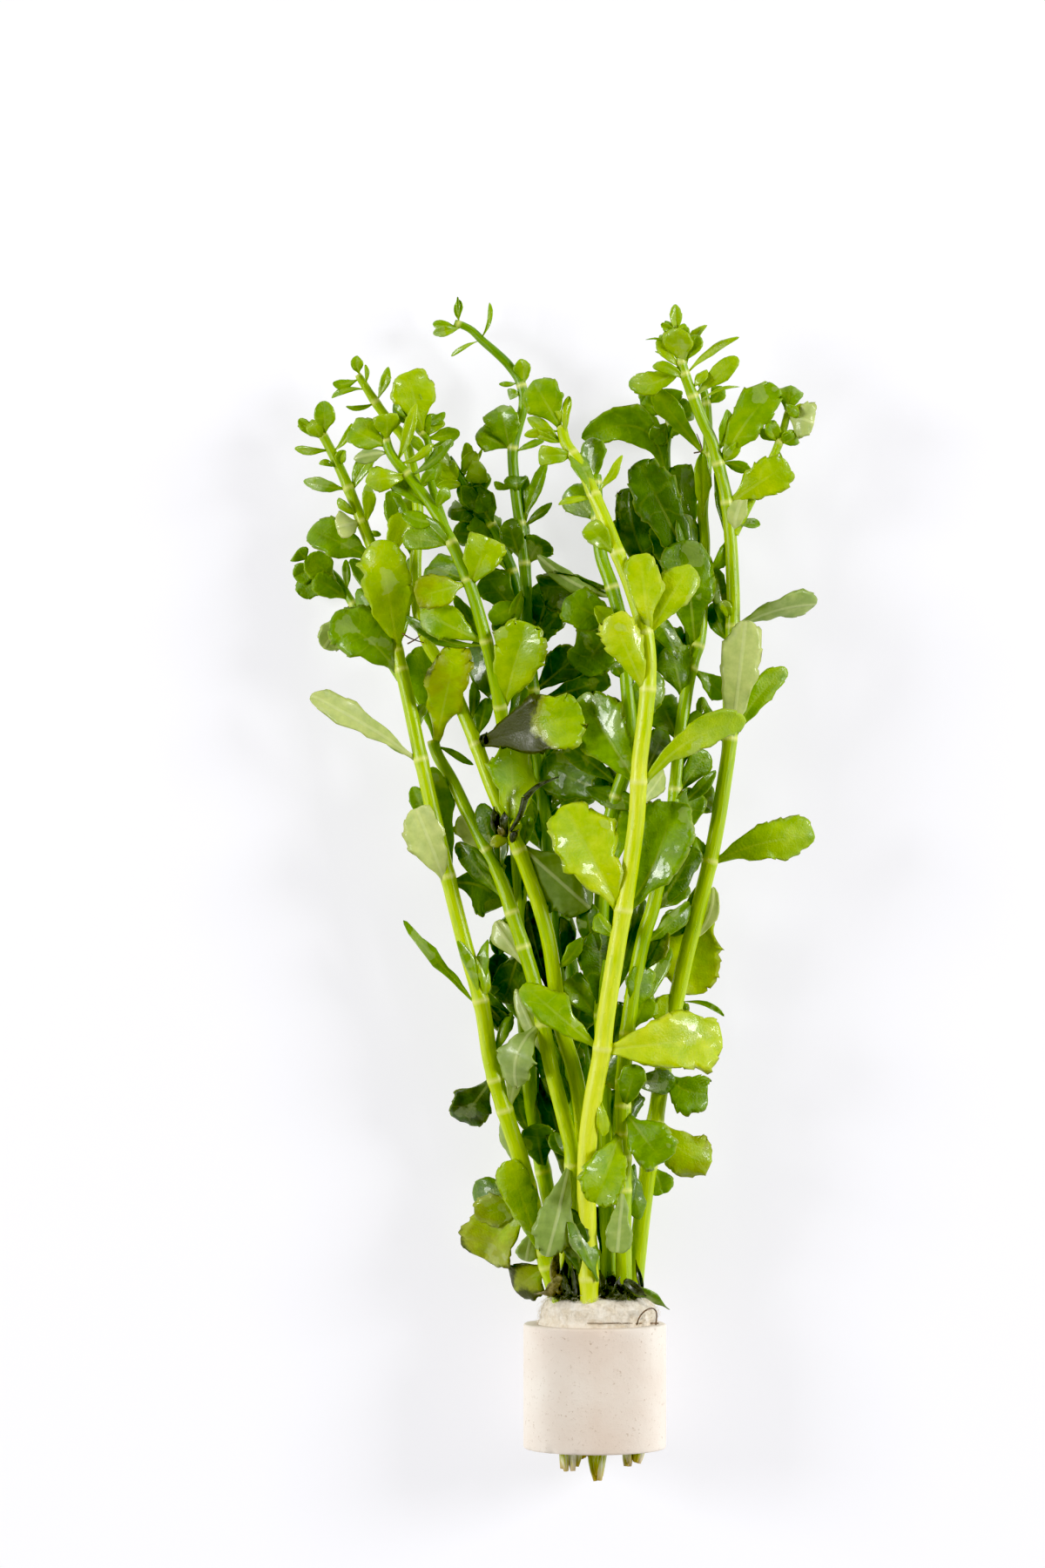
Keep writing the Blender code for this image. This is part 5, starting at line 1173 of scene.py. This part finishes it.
# %% Ring material
def bisque():
    """Unglazed fired clay: matt, chalky, with dark grains; darker and pinker along its top and paler towards its
    sides, which is painted shade and painted light.
    """
    material = bpy.data.materials.new("bisque, unglazed fired clay")
    material.use_nodes = True
    tree = material.node_tree
    clay = tree.nodes["Principled BSDF"]
    place = out(add_node(tree, "ShaderNodeTexCoord"), "Object")
    grain = out(add_node(tree, "ShaderNodeTexNoise",
                         {"Vector": place, "Scale": 1500.0, "Detail": 5.0, "Roughness": 0.7}), "Fac")
    cloud = out(add_node(tree, "ShaderNodeTexNoise", {"Vector": place, "Scale": 110.0, "Detail": 4.0}), "Fac")
    # Darker and pinker along the top, paler towards the sides, set by the distance from the ring's axis: painted shade
    # and painted light.
    off_middle = add_node(tree, "ShaderNodeMapping", {"Vector": place, "Location": (-ring_axis_x, 0, 0)})
    sideways = out(add_node(tree, "ShaderNodeSeparateXYZ", {"Vector": off_middle.outputs["Vector"]}), "X")
    apart = add_node(tree, "ShaderNodeMath", {0: sideways}, operation="ABSOLUTE").outputs[0]
    painted_side_light = add_node(tree, "ShaderNodeMapRange", {"Value": apart, "From Min": 0.0, "From Max": 0.012,
                                                      "To Min": 0.0, "To Max": 0.7}).outputs[0]
    clouded = add_node(tree, "ShaderNodeMapRange", {"Value": cloud, "From Min": 0.3, "From Max": 0.7,
                                                    "To Min": -0.1, "To Max": 0.45}).outputs[0]
    clay_clouds_and_painted_light = add_node(tree, "ShaderNodeMath", {0: clouded, 1: painted_side_light}, operation="ADD", use_clamp=True)
    body = add_node(tree, "ShaderNodeMix", {0: clay_clouds_and_painted_light.outputs[0], "A": linear("#DCCBBB"),
                                            "B": linear("#E9E1D5")}, data_type="RGBA")
    fleck = add_node(tree, "ShaderNodeMapRange", {"Value": grain, "From Min": 0.6, "From Max": 0.7,
                                                  "To Min": 0.0, "To Max": 0.7}).outputs[0]
    grained = add_node(tree, "ShaderNodeMix", {0: fleck, "A": out(body, "Result"),
                                               "B": linear("#A98F76")}, data_type="RGBA")
    tree.links.new(out(grained, "Result"), clay.inputs["Base Color"])
    clay.inputs["Roughness"].default_value = 0.85
    clay.inputs["Specular IOR Level"].default_value = 0.3
    bump = add_node(tree, "ShaderNodeBump", {"Height": grain, "Strength": 0.5, "Distance": 0.0002})
    tree.links.new(bump.outputs["Normal"], clay.inputs["Normal"])
    return material


BISQUE = bisque()
print(BISQUE.name)

# %% Ring
RING_WALL = 0.0025
RING_EDGE = 0.0004
RING_STEPS = 160
ring_length = ring_high.y - ring_low.y
axis_point = Vector((ring_axis_x, ring_low.y, (ring_low.z + ring_high.z) / 2))


def turned(name, profile, steps):
    """A closed profile of (radius, distance along the axis), turned about the ring's axis."""
    shape = bmesh.new()
    ring = [shape.verts.new((radius, distance, 0)) for radius, distance in profile]
    edges = [shape.edges.new((a, b)) for a, b in zip(ring, ring[1:] + ring[:1])]
    bmesh.ops.spin(shape, geom=ring + edges, cent=(0, 0, 0), axis=(0, 1, 0), angle=math.tau, steps=steps,
                   use_merge=True)
    bmesh.ops.remove_doubles(shape, verts=shape.verts, dist=1e-6)
    bmesh.ops.recalc_face_normals(shape, faces=shape.faces)
    mesh = bpy.data.meshes.new(name)
    shape.to_mesh(mesh)
    shape.free()
    mesh.transform(Matrix.Translation(axis_point))
    mesh.shade_smooth()
    piece = bpy.data.objects.new(name, mesh)
    bpy.context.scene.collection.objects.link(piece)
    return piece


def rounded_wall(inner, outer, length, edge, rows):
    """A tube wall's profile with rounded corners and rows of points along its sides."""
    profile = []
    corners = ((outer - edge, length - edge, 90), (outer - edge, edge, 0),
               (inner + edge, edge, -90), (inner + edge, length - edge, -180))
    sides = ((outer, -1), None, (inner, 1), None)
    for (radius, distance, angle), side in zip(corners, sides):
        for k in range(5):
            a = math.radians(angle - 22.5 * k)
            profile.append((radius + edge * math.cos(a), distance + edge * math.sin(a)))
        if side:
            for k in range(1, rows):
                step = (length - 2 * edge) * k / rows
                along = length - edge - step if side[1] < 0 else edge + step
                profile.append((side[0], along))
    return profile


outer_radius = (ring_high.x - ring_low.x) / 2
ring = turned("ceramic_ring_bisque",
              rounded_wall(outer_radius - RING_WALL, outer_radius, ring_length, RING_EDGE, 24), RING_STEPS)
for point in ring.data.vertices:
    place = point.co - axis_point
    rim = min(place.y, ring_length - place.y)
    across = Vector((place.x, 0, place.z))
    worn = noise.fractal(point.co * 900, 0.6, 2.0, 4) * 0.00006
    chip = max(0.0, noise.noise(point.co * 420) - 0.28) * 0.0016 * max(0.0, 1 - rim / 0.0009)
    point.co -= across.normalized() * (abs(worn) + chip)
ring.data.materials.append(BISQUE)
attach(ring, "root")
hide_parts("ceramic_ring")
print("ring:", len(ring.data.polygons), "faces, length in mm", round(ring_length / MM, 1))

# %% [markdown]
# ## The wool plug
# Filter wool is a springy felt of fine off-white fibres. Its body is a turned disc, swollen and
# made uneven with noise, and a tree strews short curved fibres over it, which give it a soft,
# frayed outline that no bump map could.

# %% Wool
def filter_wool():
    """Off-white mineral fibres: fully matt, warm, a little darker where they are packed."""
    material = bpy.data.materials.new("filter wool, matted fibres")
    material.use_nodes = True
    tree = material.node_tree
    wool = tree.nodes["Principled BSDF"]
    place = out(add_node(tree, "ShaderNodeTexCoord"), "Object")
    tuft = out(add_node(tree, "ShaderNodeTexNoise",
                        {"Vector": place, "Scale": 500.0, "Detail": 6.0, "Roughness": 0.7}), "Fac")
    shade = add_node(tree, "ShaderNodeMapRange", {"Value": tuft, "From Min": 0.35, "From Max": 0.65})
    colour = add_node(tree, "ShaderNodeMix", {0: shade.outputs[0], "A": linear("#DDCFB6"),
                                              "B": linear("#F3ECDE")}, data_type="RGBA")
    tree.links.new(out(colour, "Result"), wool.inputs["Base Color"])
    wool.inputs["Roughness"].default_value = 0.95
    wool.inputs["Sheen Weight"].default_value = 0.3
    bump = add_node(tree, "ShaderNodeBump", {"Height": tuft, "Strength": 0.8, "Distance": 0.0005})
    tree.links.new(bump.outputs["Normal"], wool.inputs["Normal"])
    return material


def fibre_tree():
    """Short curved fibres that lie in all directions on a surface."""
    tree, given, result = new_group("strewn fibres", {
        "Density": ("NodeSocketFloat", 1.0), "Length": ("NodeSocketFloat", 0.003),
        "Radius": ("NodeSocketFloat", 0.00004), "Seed": ("NodeSocketInt", 3),
        "Material": ("NodeSocketMaterial", None)})
    spots = add_node(tree, "GeometryNodeDistributePointsOnFaces",
                     {"Mesh": given.outputs["Geometry"], "Density": given.outputs["Density"],
                      "Seed": given.outputs["Seed"]})
    bow = add_node(tree, "GeometryNodeCurvePrimitiveBezierSegment",
                   {"Resolution": 5, "Start": (0, 0, 0), "Start Handle": (0.3, 0.25, 0.15),
                    "End Handle": (0.7, 0.2, 0.2), "End": (1, -0.1, 0.02)}, mode="POSITION")
    stick = add_node(tree, "GeometryNodeCurvePrimitiveCircle", {"Resolution": 3, "Radius": 1.0})
    thin = add_node(tree, "ShaderNodeMath", {0: given.outputs["Radius"], 1: given.outputs["Length"]},
                    operation="DIVIDE").outputs[0]
    hair = add_node(tree, "GeometryNodeCurveToMesh", {"Curve": bow.outputs["Curve"],
                                                      "Profile Curve": stick.outputs["Curve"], "Scale": thin,
                                                      "Fill Caps": True})
    spin = add_node(tree, "FunctionNodeRandomValue", {"Min": (0, -0.5, 0), "Max": (0, 0.1, 6.28318),
                                                      "Seed": given.outputs["Seed"]}, data_type="FLOAT_VECTOR")
    turned_about = add_node(tree, "FunctionNodeRotateRotation",
                            {"Rotation": spots.outputs["Rotation"], "Rotate By": out(spin, "Value")},
                            rotation_space="LOCAL")
    stretch = add_node(tree, "FunctionNodeRandomValue", {"Min": 0.5, "Max": 1.2}, data_type="FLOAT")
    long = add_node(tree, "ShaderNodeMath", {0: out(stretch, "Value"), 1: given.outputs["Length"]},
                    operation="MULTIPLY").outputs[0]
    strewn = add_node(tree, "GeometryNodeInstanceOnPoints",
                      {"Points": spots.outputs["Points"], "Instance": hair.outputs["Mesh"],
                       "Rotation": turned_about.outputs["Rotation"], "Scale": long})
    real = add_node(tree, "GeometryNodeRealizeInstances", {"Geometry": strewn.outputs["Instances"]})
    painted = add_node(tree, "GeometryNodeSetMaterial", {"Geometry": real.outputs["Geometry"],
                                                         "Material": given.outputs["Material"]})
    tree.links.new(painted.outputs["Geometry"], result.inputs["Geometry"])
    return tree


WOOL = filter_wool()
FIBRE_TREE = fibre_tree()
LEAN = 0.0006
FROTH = 0.0009
plug_low, plug_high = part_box("wool_plug")
plug_top = plug_high.y - ring_low.y
plug_foot = plug_low.y - ring_low.y
bulge = (plug_high.x - plug_low.x) / 2
inside = outer_radius - RING_WALL - 0.0001
plug_top += FROTH
profile = [(0.0004, plug_top - 0.0003), (bulge * 0.5, plug_top), (bulge * 0.78, plug_top - 0.0001),
           (bulge * 0.93, plug_top - 0.001), (bulge * 0.995, plug_top - 0.0026),
           (bulge * 0.99, ring_length + 0.0005),
           (inside, ring_length - 0.0004), (inside, plug_foot + 0.0006), (inside * 0.9, plug_foot + 0.0002),
           (0.0004, plug_foot + 0.0003)]
plug = turned("wool_plug_felt", profile, 96)
finer = plug.modifiers.new("finer", "SUBSURF")
finer.levels = 2
finer.render_levels = 2
graph = bpy.context.evaluated_depsgraph_get()
felt = bpy.data.meshes.new_from_object(plug.evaluated_get(graph))
plug.modifiers.clear()
plug.data = felt
for point in felt.vertices:
    lump = noise.fractal(point.co * 650, 0.7, 2.0, 4)
    hollow = min(0.0, lump) * 0.00028 - 0.0001
    away = point.co - axis_point - Vector((0, ring_length, 0))
    if away.y > 0:
        point.co += away.normalized() * hollow + Vector((LEAN * min(1.0, away.y / 0.001), 0, 0))
felt.materials.clear()
felt.materials.append(WOOL)
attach(plug, "root")
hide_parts("wool_plug")
print("felt body:", len(felt.polygons), "faces")

# %% Fibres on the wool
shape = bmesh.new()
shape.from_mesh(felt)
buried = [face for face in shape.faces if face.calc_center_median().y < ring_high.y + 0.0004]
bmesh.ops.delete(shape, geom=buried, context="FACES")
proud = bpy.data.meshes.new("proud_felt")
shape.to_mesh(proud)
shape.free()
proud_area = sum(face.area for face in proud.polygons)
fibres = grow("wool_plug_fibres", proud, FIBRE_TREE,
              {"Density": 1500 / proud_area, "Length": 0.0016, "Radius": 0.000022, "Seed": 3, "Material": WOOL})
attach(fibres, "root")
print("fibres:", len(fibres.data.polygons), "faces")

# %% [markdown]
# ## Cut ends
# Four stems show their cut ends below the ring. Blunt scissors crush such a stem, so its end is
# split into strips that dry to an olive brown. Each strip is one more line for the stem tree.

# %% Cut ends
def dried_flesh():
    """Cut stem flesh: fibrous, pale olive, browned towards its open end, nearly matt."""
    material = bpy.data.materials.new("cut stem, dried flesh")
    material.use_nodes = True
    tree = material.node_tree
    flesh = tree.nodes["Principled BSDF"]
    read = {name: out(add_node(tree, "ShaderNodeAttribute", attribute_name=name), "Fac")
            for name in ("around", "along", "tone")}
    unrolled = out(add_node(tree, "ShaderNodeCombineXYZ", {"X": read["around"], "Y": read["along"],
                                                           "Z": read["tone"]}), "Vector")
    drawn_out = out(add_node(tree, "ShaderNodeMapping", {"Vector": unrolled, "Scale": (8.0, 2.0, 9.0)}), "Vector")
    streak = out(add_node(tree, "ShaderNodeTexNoise", {"Vector": drawn_out, "Scale": 1.5, "Detail": 4.0}), "Fac")
    tone = add_node(tree, "ShaderNodeMath", {0: streak, 1: 1.2, 2: read["tone"]}, operation="MULTIPLY_ADD")
    ramp = add_node(tree, "ShaderNodeValToRGB", {"Fac": tone.outputs[0]})
    stops = ramp.color_ramp.elements
    stops[0].position, stops[0].color = 0.3, linear("#6E7C08")
    stops[1].position, stops[1].color = 0.92, linear("#F2F2DC")
    stops.new(0.6).color = linear("#B9C438")
    open_end = add_node(tree, "ShaderNodeMapRange", {"Value": read["along"], "From Min": 0.7, "From Max": 1.0,
                                                     "To Min": 0.0, "To Max": 0.7}).outputs[0]
    dried = add_node(tree, "ShaderNodeMix", {0: open_end, "A": ramp.outputs["Color"],
                                             "B": linear("#AE8420")}, data_type="RGBA")
    tree.links.new(out(dried, "Result"), flesh.inputs["Base Color"])
    flesh.inputs["Roughness"].default_value = 0.55
    bump = add_node(tree, "ShaderNodeBump", {"Height": streak, "Strength": 0.6, "Distance": 0.0002})
    tree.links.new(bump.outputs["Normal"], flesh.inputs["Normal"])
    return material


# stem: column and row of the end, how far the strips spread in mm, their tone
CUT_ENDS = {"stem_02": (654, 1689, 1.7, 0.2), "stem_03": (673, 1676, 1.2, 0.0),
            "stem_07": (687, 1700, 0.6, 0.0), "stem_10": (726, 1684, 1.5, 0.05)}
STRIPS = 6
STRIP_RADIUS = 0.0008
ROWS_INSIDE = 30


def crushed_end(name, column, row, spread, tone):
    """Strips round a stem's axis, of uneven length, from inside the ring to the cut."""
    axis, radius, growing = on_line(lines[name], RING_FOOT_ROW - ROWS_INSIDE)
    foot = at(column, row, axis.z / MM)
    neck = at(column, RING_FOOT_ROW - ROWS_INSIDE / 3, axis.z / MM)
    strips = []
    for k in range(STRIPS):
        angle = math.tau * k / STRIPS
        side = Vector((math.cos(angle), 0, math.sin(angle)))
        whim = noise.random_vector()
        end = foot + side * spread * MM * 0.7 + Vector((0, 0.0006 + 0.0006 * whim.x, 0))
        points = []
        for step in range(9):
            share = step / 8
            collar = neck + side * radius
            points.append((axis + side * radius * 0.6).lerp(collar, share).lerp(collar.lerp(end, share), share)
                          + side * 0.0005 * whim.y * math.sin(math.pi * share))
        thickness = [STRIP_RADIUS * (1 - 0.45 * (step / 8) ** 6) for step in range(9)]
        strips.append((points, {"radius": thickness, "knot": [0.0] * 9, "tone": [tone + 0.2 * whim.z] * 9}))
    return strips


CUT_FLESH = dried_flesh()
for number, (name, end) in enumerate(CUT_ENDS.items(), 1):
    noise.seed_set(number)
    mesh = line_mesh("strips", crushed_end(name, *end))
    cut = grow(name + "_cut_end", mesh, STEM_TREE, {"Sides": 8, "Material": CUT_FLESH})
    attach(cut, "root")
print("cut ends:", len(CUT_ENDS), "with", STRIPS, "strips each")

# %% [markdown]
# ## Debris in the bunch
# Old leaves rot where the stems are pressed together: at the plug and at some joints. They are
# the same leaves as before, only thin, black-green and wet. Just above the plug the black shreds
# and clods are partly rot and partly painted shade between the crowded stems. A dark twig, a few
# fine roots, a loop of thread on the ring's rim and a dark line along that rim, partly dirt and
# partly painted shadow, are bare lines again. Nothing here stands out from the bunch.

# %% Rotten leaves, roots and thread
def wet_rot(name, dark, light):
    """Rotten plant matter: broken down to a dark paste, wet and shiny."""
    material = bpy.data.materials.new(name)
    material.use_nodes = True
    tree = material.node_tree
    paste = tree.nodes["Principled BSDF"]
    place = out(add_node(tree, "ShaderNodeTexCoord"), "Object")
    lump = out(add_node(tree, "ShaderNodeTexNoise",
                        {"Vector": place, "Scale": 900.0, "Detail": 5.0, "Roughness": 0.7}), "Fac")
    share = add_node(tree, "ShaderNodeMapRange", {"Value": lump, "From Min": 0.42, "From Max": 0.62}).outputs[0]
    colour = add_node(tree, "ShaderNodeMix", {0: share, "A": linear(dark), "B": linear(light)},
                      data_type="RGBA")
    tree.links.new(out(colour, "Result"), paste.inputs["Base Color"])
    paste.inputs["Roughness"].default_value = 0.4
    paste.inputs["Coat Weight"].default_value = 0.35
    paste.inputs["Coat Roughness"].default_value = 0.12
    bump = add_node(tree, "ShaderNodeBump", {"Height": lump, "Strength": 0.8, "Distance": 0.0004})
    tree.links.new(bump.outputs["Normal"], paste.inputs["Normal"])
    return material


def shred(start, middle, end, width, seed):
    """A rotten leaf from its three places, narrow, crumpled and turned at random."""
    ends = [at(*place) for place in (start, middle, end)]
    noise.seed_set(seed)
    whim = noise.random_vector()
    points = []
    numbers = {key: [] for key in ("half_width", "reach", "roll", "curl", "fold", "tone", "decay")}
    for step in range(13):
        share = step / 12
        points.append(ends[0].lerp(ends[1], share).lerp(ends[1].lerp(ends[2], share), share))
        half = width * PIXEL / 2 * math.sin(math.pi * min(0.98, 0.12 + share)) ** 0.6
        numbers["half_width"].append(half)
        numbers["reach"].append(half * 0.5)
        numbers["roll"].append(0.6 * whim.x + 0.8 * whim.y * share)
        numbers["curl"].append(half * (0.4 * whim.z + 0.3 * math.sin(9 * share + seed)))
        numbers["fold"].append(half * 0.3)
        numbers["tone"].append(0.36)
        numbers["decay"].append(0.1)
    return points, numbers


def fine_line(places, radii):
    """A root, twig or thread: a smooth line with a radius in mm at each end."""
    points = smooth_line([at(*place) for place in places], 0.0004)
    last = len(points) - 1
    radius = [MM * (radii[0] + (radii[1] - radii[0]) * i / last) for i in range(last + 1)]
    return points, {"radius": radius, "knot": [0.0] * len(points), "tone": [0.3] * len(points)}


# The black shreds and the clods just above the plug are partly rot and partly painted shade between the crowded stems
# there.
# groups of (column, row, height in mm) at the base, the middle and the tip, and a width in columns
BLACK_SHREDS = [
    ((652, 1490, 19), (646, 1465, 20), (649, 1442, 19), 13), ((660, 1490, 20), (661, 1472, 20), (656, 1450, 19), 12),
    ((690, 1490, 20), (692, 1474, 20), (689, 1458, 18), 10), ((708, 1488, 20), (706, 1480, 21), (712, 1466, 20), 11),
    ((738, 1486, 16), (733, 1466, 17), (730, 1446, 16), 6), ((716, 1470, 21.5), (730, 1478, 21.5), (742, 1488, 20.5), 11),
    ((574, 960, 19), (568, 944, 20), (567, 926, 19.5), 13), ((580, 962, 20), (577, 944, 21), (580, 930, 20.5), 9),
    ((590, 968, 20), (586, 960, 21), (596, 952, 21), 9), ((556, 856, 16), (551, 848, 17), (560, 842, 17), 8),
    ((696, 1366, 17), (692, 1358, 18), (698, 1350, 18), 9)]
BROWN_SHREDS = [
    ((644, 1486, 19), (636, 1458, 20), (636, 1424, 19), 14), ((643, 1462, 20), (640, 1484, 20.5), (614, 1486, 18), 16),
    ((576, 962, 20), (577, 955, 21), (572, 948, 20.5), 8)]
DROOPING_LEAVES = [
    ((722, 1476, 20.5), (750, 1488, 20), (768, 1503, 17), 15), ((656, 1396, 21), (668, 1430, 23), (687, 1470, 21.5), 28)]
ROT_AND_SHADE_CLODS = [((652, 1480, 18), 1.5), ((656, 1464, 16), 1.0), ((661, 1486, 19), 0.9), ((696, 1482, 19), 1.1),
        ((707, 1485, 20), 0.9), ((717, 1482, 19.5), 1.0), ((703, 1470, 17), 0.8), ((727, 1487, 18), 0.7),
        ((640, 1486, 18), 0.8), ((735, 1484, 16), 0.6)]
ROT_AND_SHADE_HAIRS = 2200
TWIG = [((586, 954, 20.5), (597, 936, 21.5), (603, 916, 22)), ((603, 916, 22), (618, 902, 22), (641, 892, 21.5))]
ROOTS = [((462, 727, 14), (472, 733, 14.5), (487, 738, 14)), ((468, 739, 14), (477, 734, 14.5), (484, 728, 14)),
         ((503, 740, 15), (512, 741, 15.5), (523, 745, 15)), ((797, 520, 9), (806, 516, 10), (800, 498, 9))]
THREAD = [((731, 1521, 21.6), (735, 1511, 22.5), (742, 1504, 22.3), (750, 1502, 21.4), (754, 1508, 20.4),
           (753, 1521, 19.2))]
RIM_DIRT_AND_SHADOW_COLUMNS = (674, 756)

ROTS = {"black": wet_rot("rotten leaf, black and wet", "#0E1508", "#46522C"),
        "brown": wet_rot("rotten leaf, brown", "#55501C", "#9C9350"),
        "algae": wet_rot("algae threads, grey-green", "#1E2A12", "#7C8862")}
BROWN_THREAD = wet_rot("brown thread and roots", "#4A331E", "#85603C")
for label, shreds in (("black", BLACK_SHREDS), ("brown", BROWN_SHREDS), ("green", DROOPING_LEAVES)):
    skin = ROTS.get(label, LEAF_TOP)
    rot = {**LEAF_SIZES, "Thickness": 0.0003, "Upper side": skin, "Underside": skin}
    strands = [shred(*places, seed) for seed, places in enumerate(shreds, 1)]
    debris = grow("debris_" + label, line_mesh("shreds", strands), BLADE_TREE, rot)
    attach(debris, "root")
rot_and_shade = bmesh.new()
for place, size in ROT_AND_SHADE_CLODS:
    ball = bmesh.ops.create_icosphere(rot_and_shade, subdivisions=3, radius=size * MM)["verts"]
    for point in ball:
        point.co = at(*place) + point.co * (1 + 0.9 * noise.fractal((point.co + at(*place)) * 900, 0.8, 2.0, 4))
clods = bpy.data.meshes.new("clods")
rot_and_shade.to_mesh(clods)
rot_and_shade.free()
clods.materials.append(ROTS["black"])
clods.shade_smooth()
clump = bpy.data.objects.new("debris_moss", clods)
bpy.context.collection.objects.link(clump)
hairs = grow("debris_moss_hairs", clods.copy(), FIBRE_TREE,
             {"Density": ROT_AND_SHADE_HAIRS / sum(face.area for face in clods.polygons), "Length": 0.0011,
              "Radius": 0.00003, "Seed": 5, "Material": ROTS["algae"]})
for piece in (clump, hairs):
    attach(piece, "root")
# A thin dark line along the ring's inner rim, where the wool meets it: partly dirt and partly painted shadow of the
# gap.
inner = outer_radius - RING_WALL
rim_dirt_and_painted_shadow = []
for column in np.linspace(*RIM_DIRT_AND_SHADOW_COLUMNS, 9):
    sideways = min(0.98, abs(column - RING_COLUMN) * PIXEL / inner)
    rim_dirt_and_painted_shadow.append((column, RING_TOP_ROW, (AXIS_HEIGHT + (inner + 0.0004) * math.sqrt(1 - sideways ** 2)) / MM))
fine = {"twig": [fine_line(TWIG[0], (0.3, 0.65)), fine_line(TWIG[1], (0.6, 0.15))],
        "roots": [fine_line(root, (0.15, 0.08)) for root in ROOTS],
        "thread": [fine_line(THREAD[0], (0.13, 0.13)), fine_line(rim_dirt_and_painted_shadow, (0.06, 0.13))]}
for label, strands in fine.items():
    material = ROTS["black"] if label == "twig" else BROWN_THREAD
    line = grow("debris_" + label, line_mesh("lines", strands), STEM_TREE, {"Sides": 8, "Material": material})
    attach(line, "root")
print("debris:", len(BLACK_SHREDS) + len(BROWN_SHREDS) + len(DROOPING_LEAVES), "shreds,", len(ROT_AND_SHADE_CLODS), "clods")

# %% [markdown]
# ## White surface and light
# The picture is high-key: a white surface lit so strongly that it nearly burns out, with only a
# faint shade under the bunch. A bright white sky does most of that, and two broad lamps put soft
# glints on the wet leaves.

# %% Surface and light
def white_board():
    """White acrylic on a light table: even, matt, and faintly lit from below, which fades shadows."""
    material = bpy.data.materials.new("white acrylic, lit from below")
    material.use_nodes = True
    board = material.node_tree.nodes["Principled BSDF"]
    board.inputs["Base Color"].default_value = linear("#9C9CA0")
    board.inputs["Roughness"].default_value = 0.9
    board.inputs["Specular IOR Level"].default_value = 0.1
    board.inputs["Emission Color"].default_value = linear("#FCFBFD")
    board.inputs["Emission Strength"].default_value = 0.67
    return material


bpy.ops.mesh.primitive_plane_add(size=3.0, location=(VIEW_X, VIEW_Y, -0.0002))
surface = bpy.context.object
surface.name = "white_surface"
surface.data.materials.append(white_board())

def white_room():
    """Bright walls round the table and a dim ceiling, so that flat leaves keep their deep green."""
    world = bpy.data.worlds.new("white room")
    world.use_nodes = True
    tree = world.node_tree
    direction = out(add_node(tree, "ShaderNodeTexCoord"), "Generated")
    up = out(add_node(tree, "ShaderNodeSeparateXYZ", {"Vector": direction}), "Z")
    strength = add_node(tree, "ShaderNodeMapRange", {"Value": up, "From Min": 0.2, "From Max": 0.9,
                                                     "To Min": WALL_LIGHT, "To Max": CEILING_LIGHT}).outputs[0]
    sky = tree.nodes["Background"]
    sky.inputs["Color"].default_value = linear("#FBFCFF")
    tree.links.new(strength, sky.inputs["Strength"])
    return world


WALL_LIGHT = 0.8
CEILING_LIGHT = 0.12
LAMPS = {"lamp_right": ((1.08, 0.3, 0.7), 0.4, 13.0), "lamp_left": ((-1.08, 0.2, 0.7), 0.4, 10.8)}
bpy.context.scene.world = white_room()
for name, (offset, size, power) in LAMPS.items():
    lamp_data = bpy.data.lights.new(name, "AREA")
    lamp_data.size = size
    lamp_data.energy = power
    lamp = bpy.data.objects.new(name, lamp_data)
    lamp.location = Vector((VIEW_X, VIEW_Y, 0)) + Vector(offset)
    lamp.rotation_euler = (-Vector(offset)).to_track_quat("-Z", "Y").to_euler()
    bpy.context.scene.collection.objects.link(lamp)
grade = bpy.context.scene.view_settings
grade.view_transform = "Standard"
grade.use_curve_mapping = True
grade.curve_mapping.black_level = (0.02, 0.02, 0.03)
grade.curve_mapping.update()
print("lamps:", len(LAMPS))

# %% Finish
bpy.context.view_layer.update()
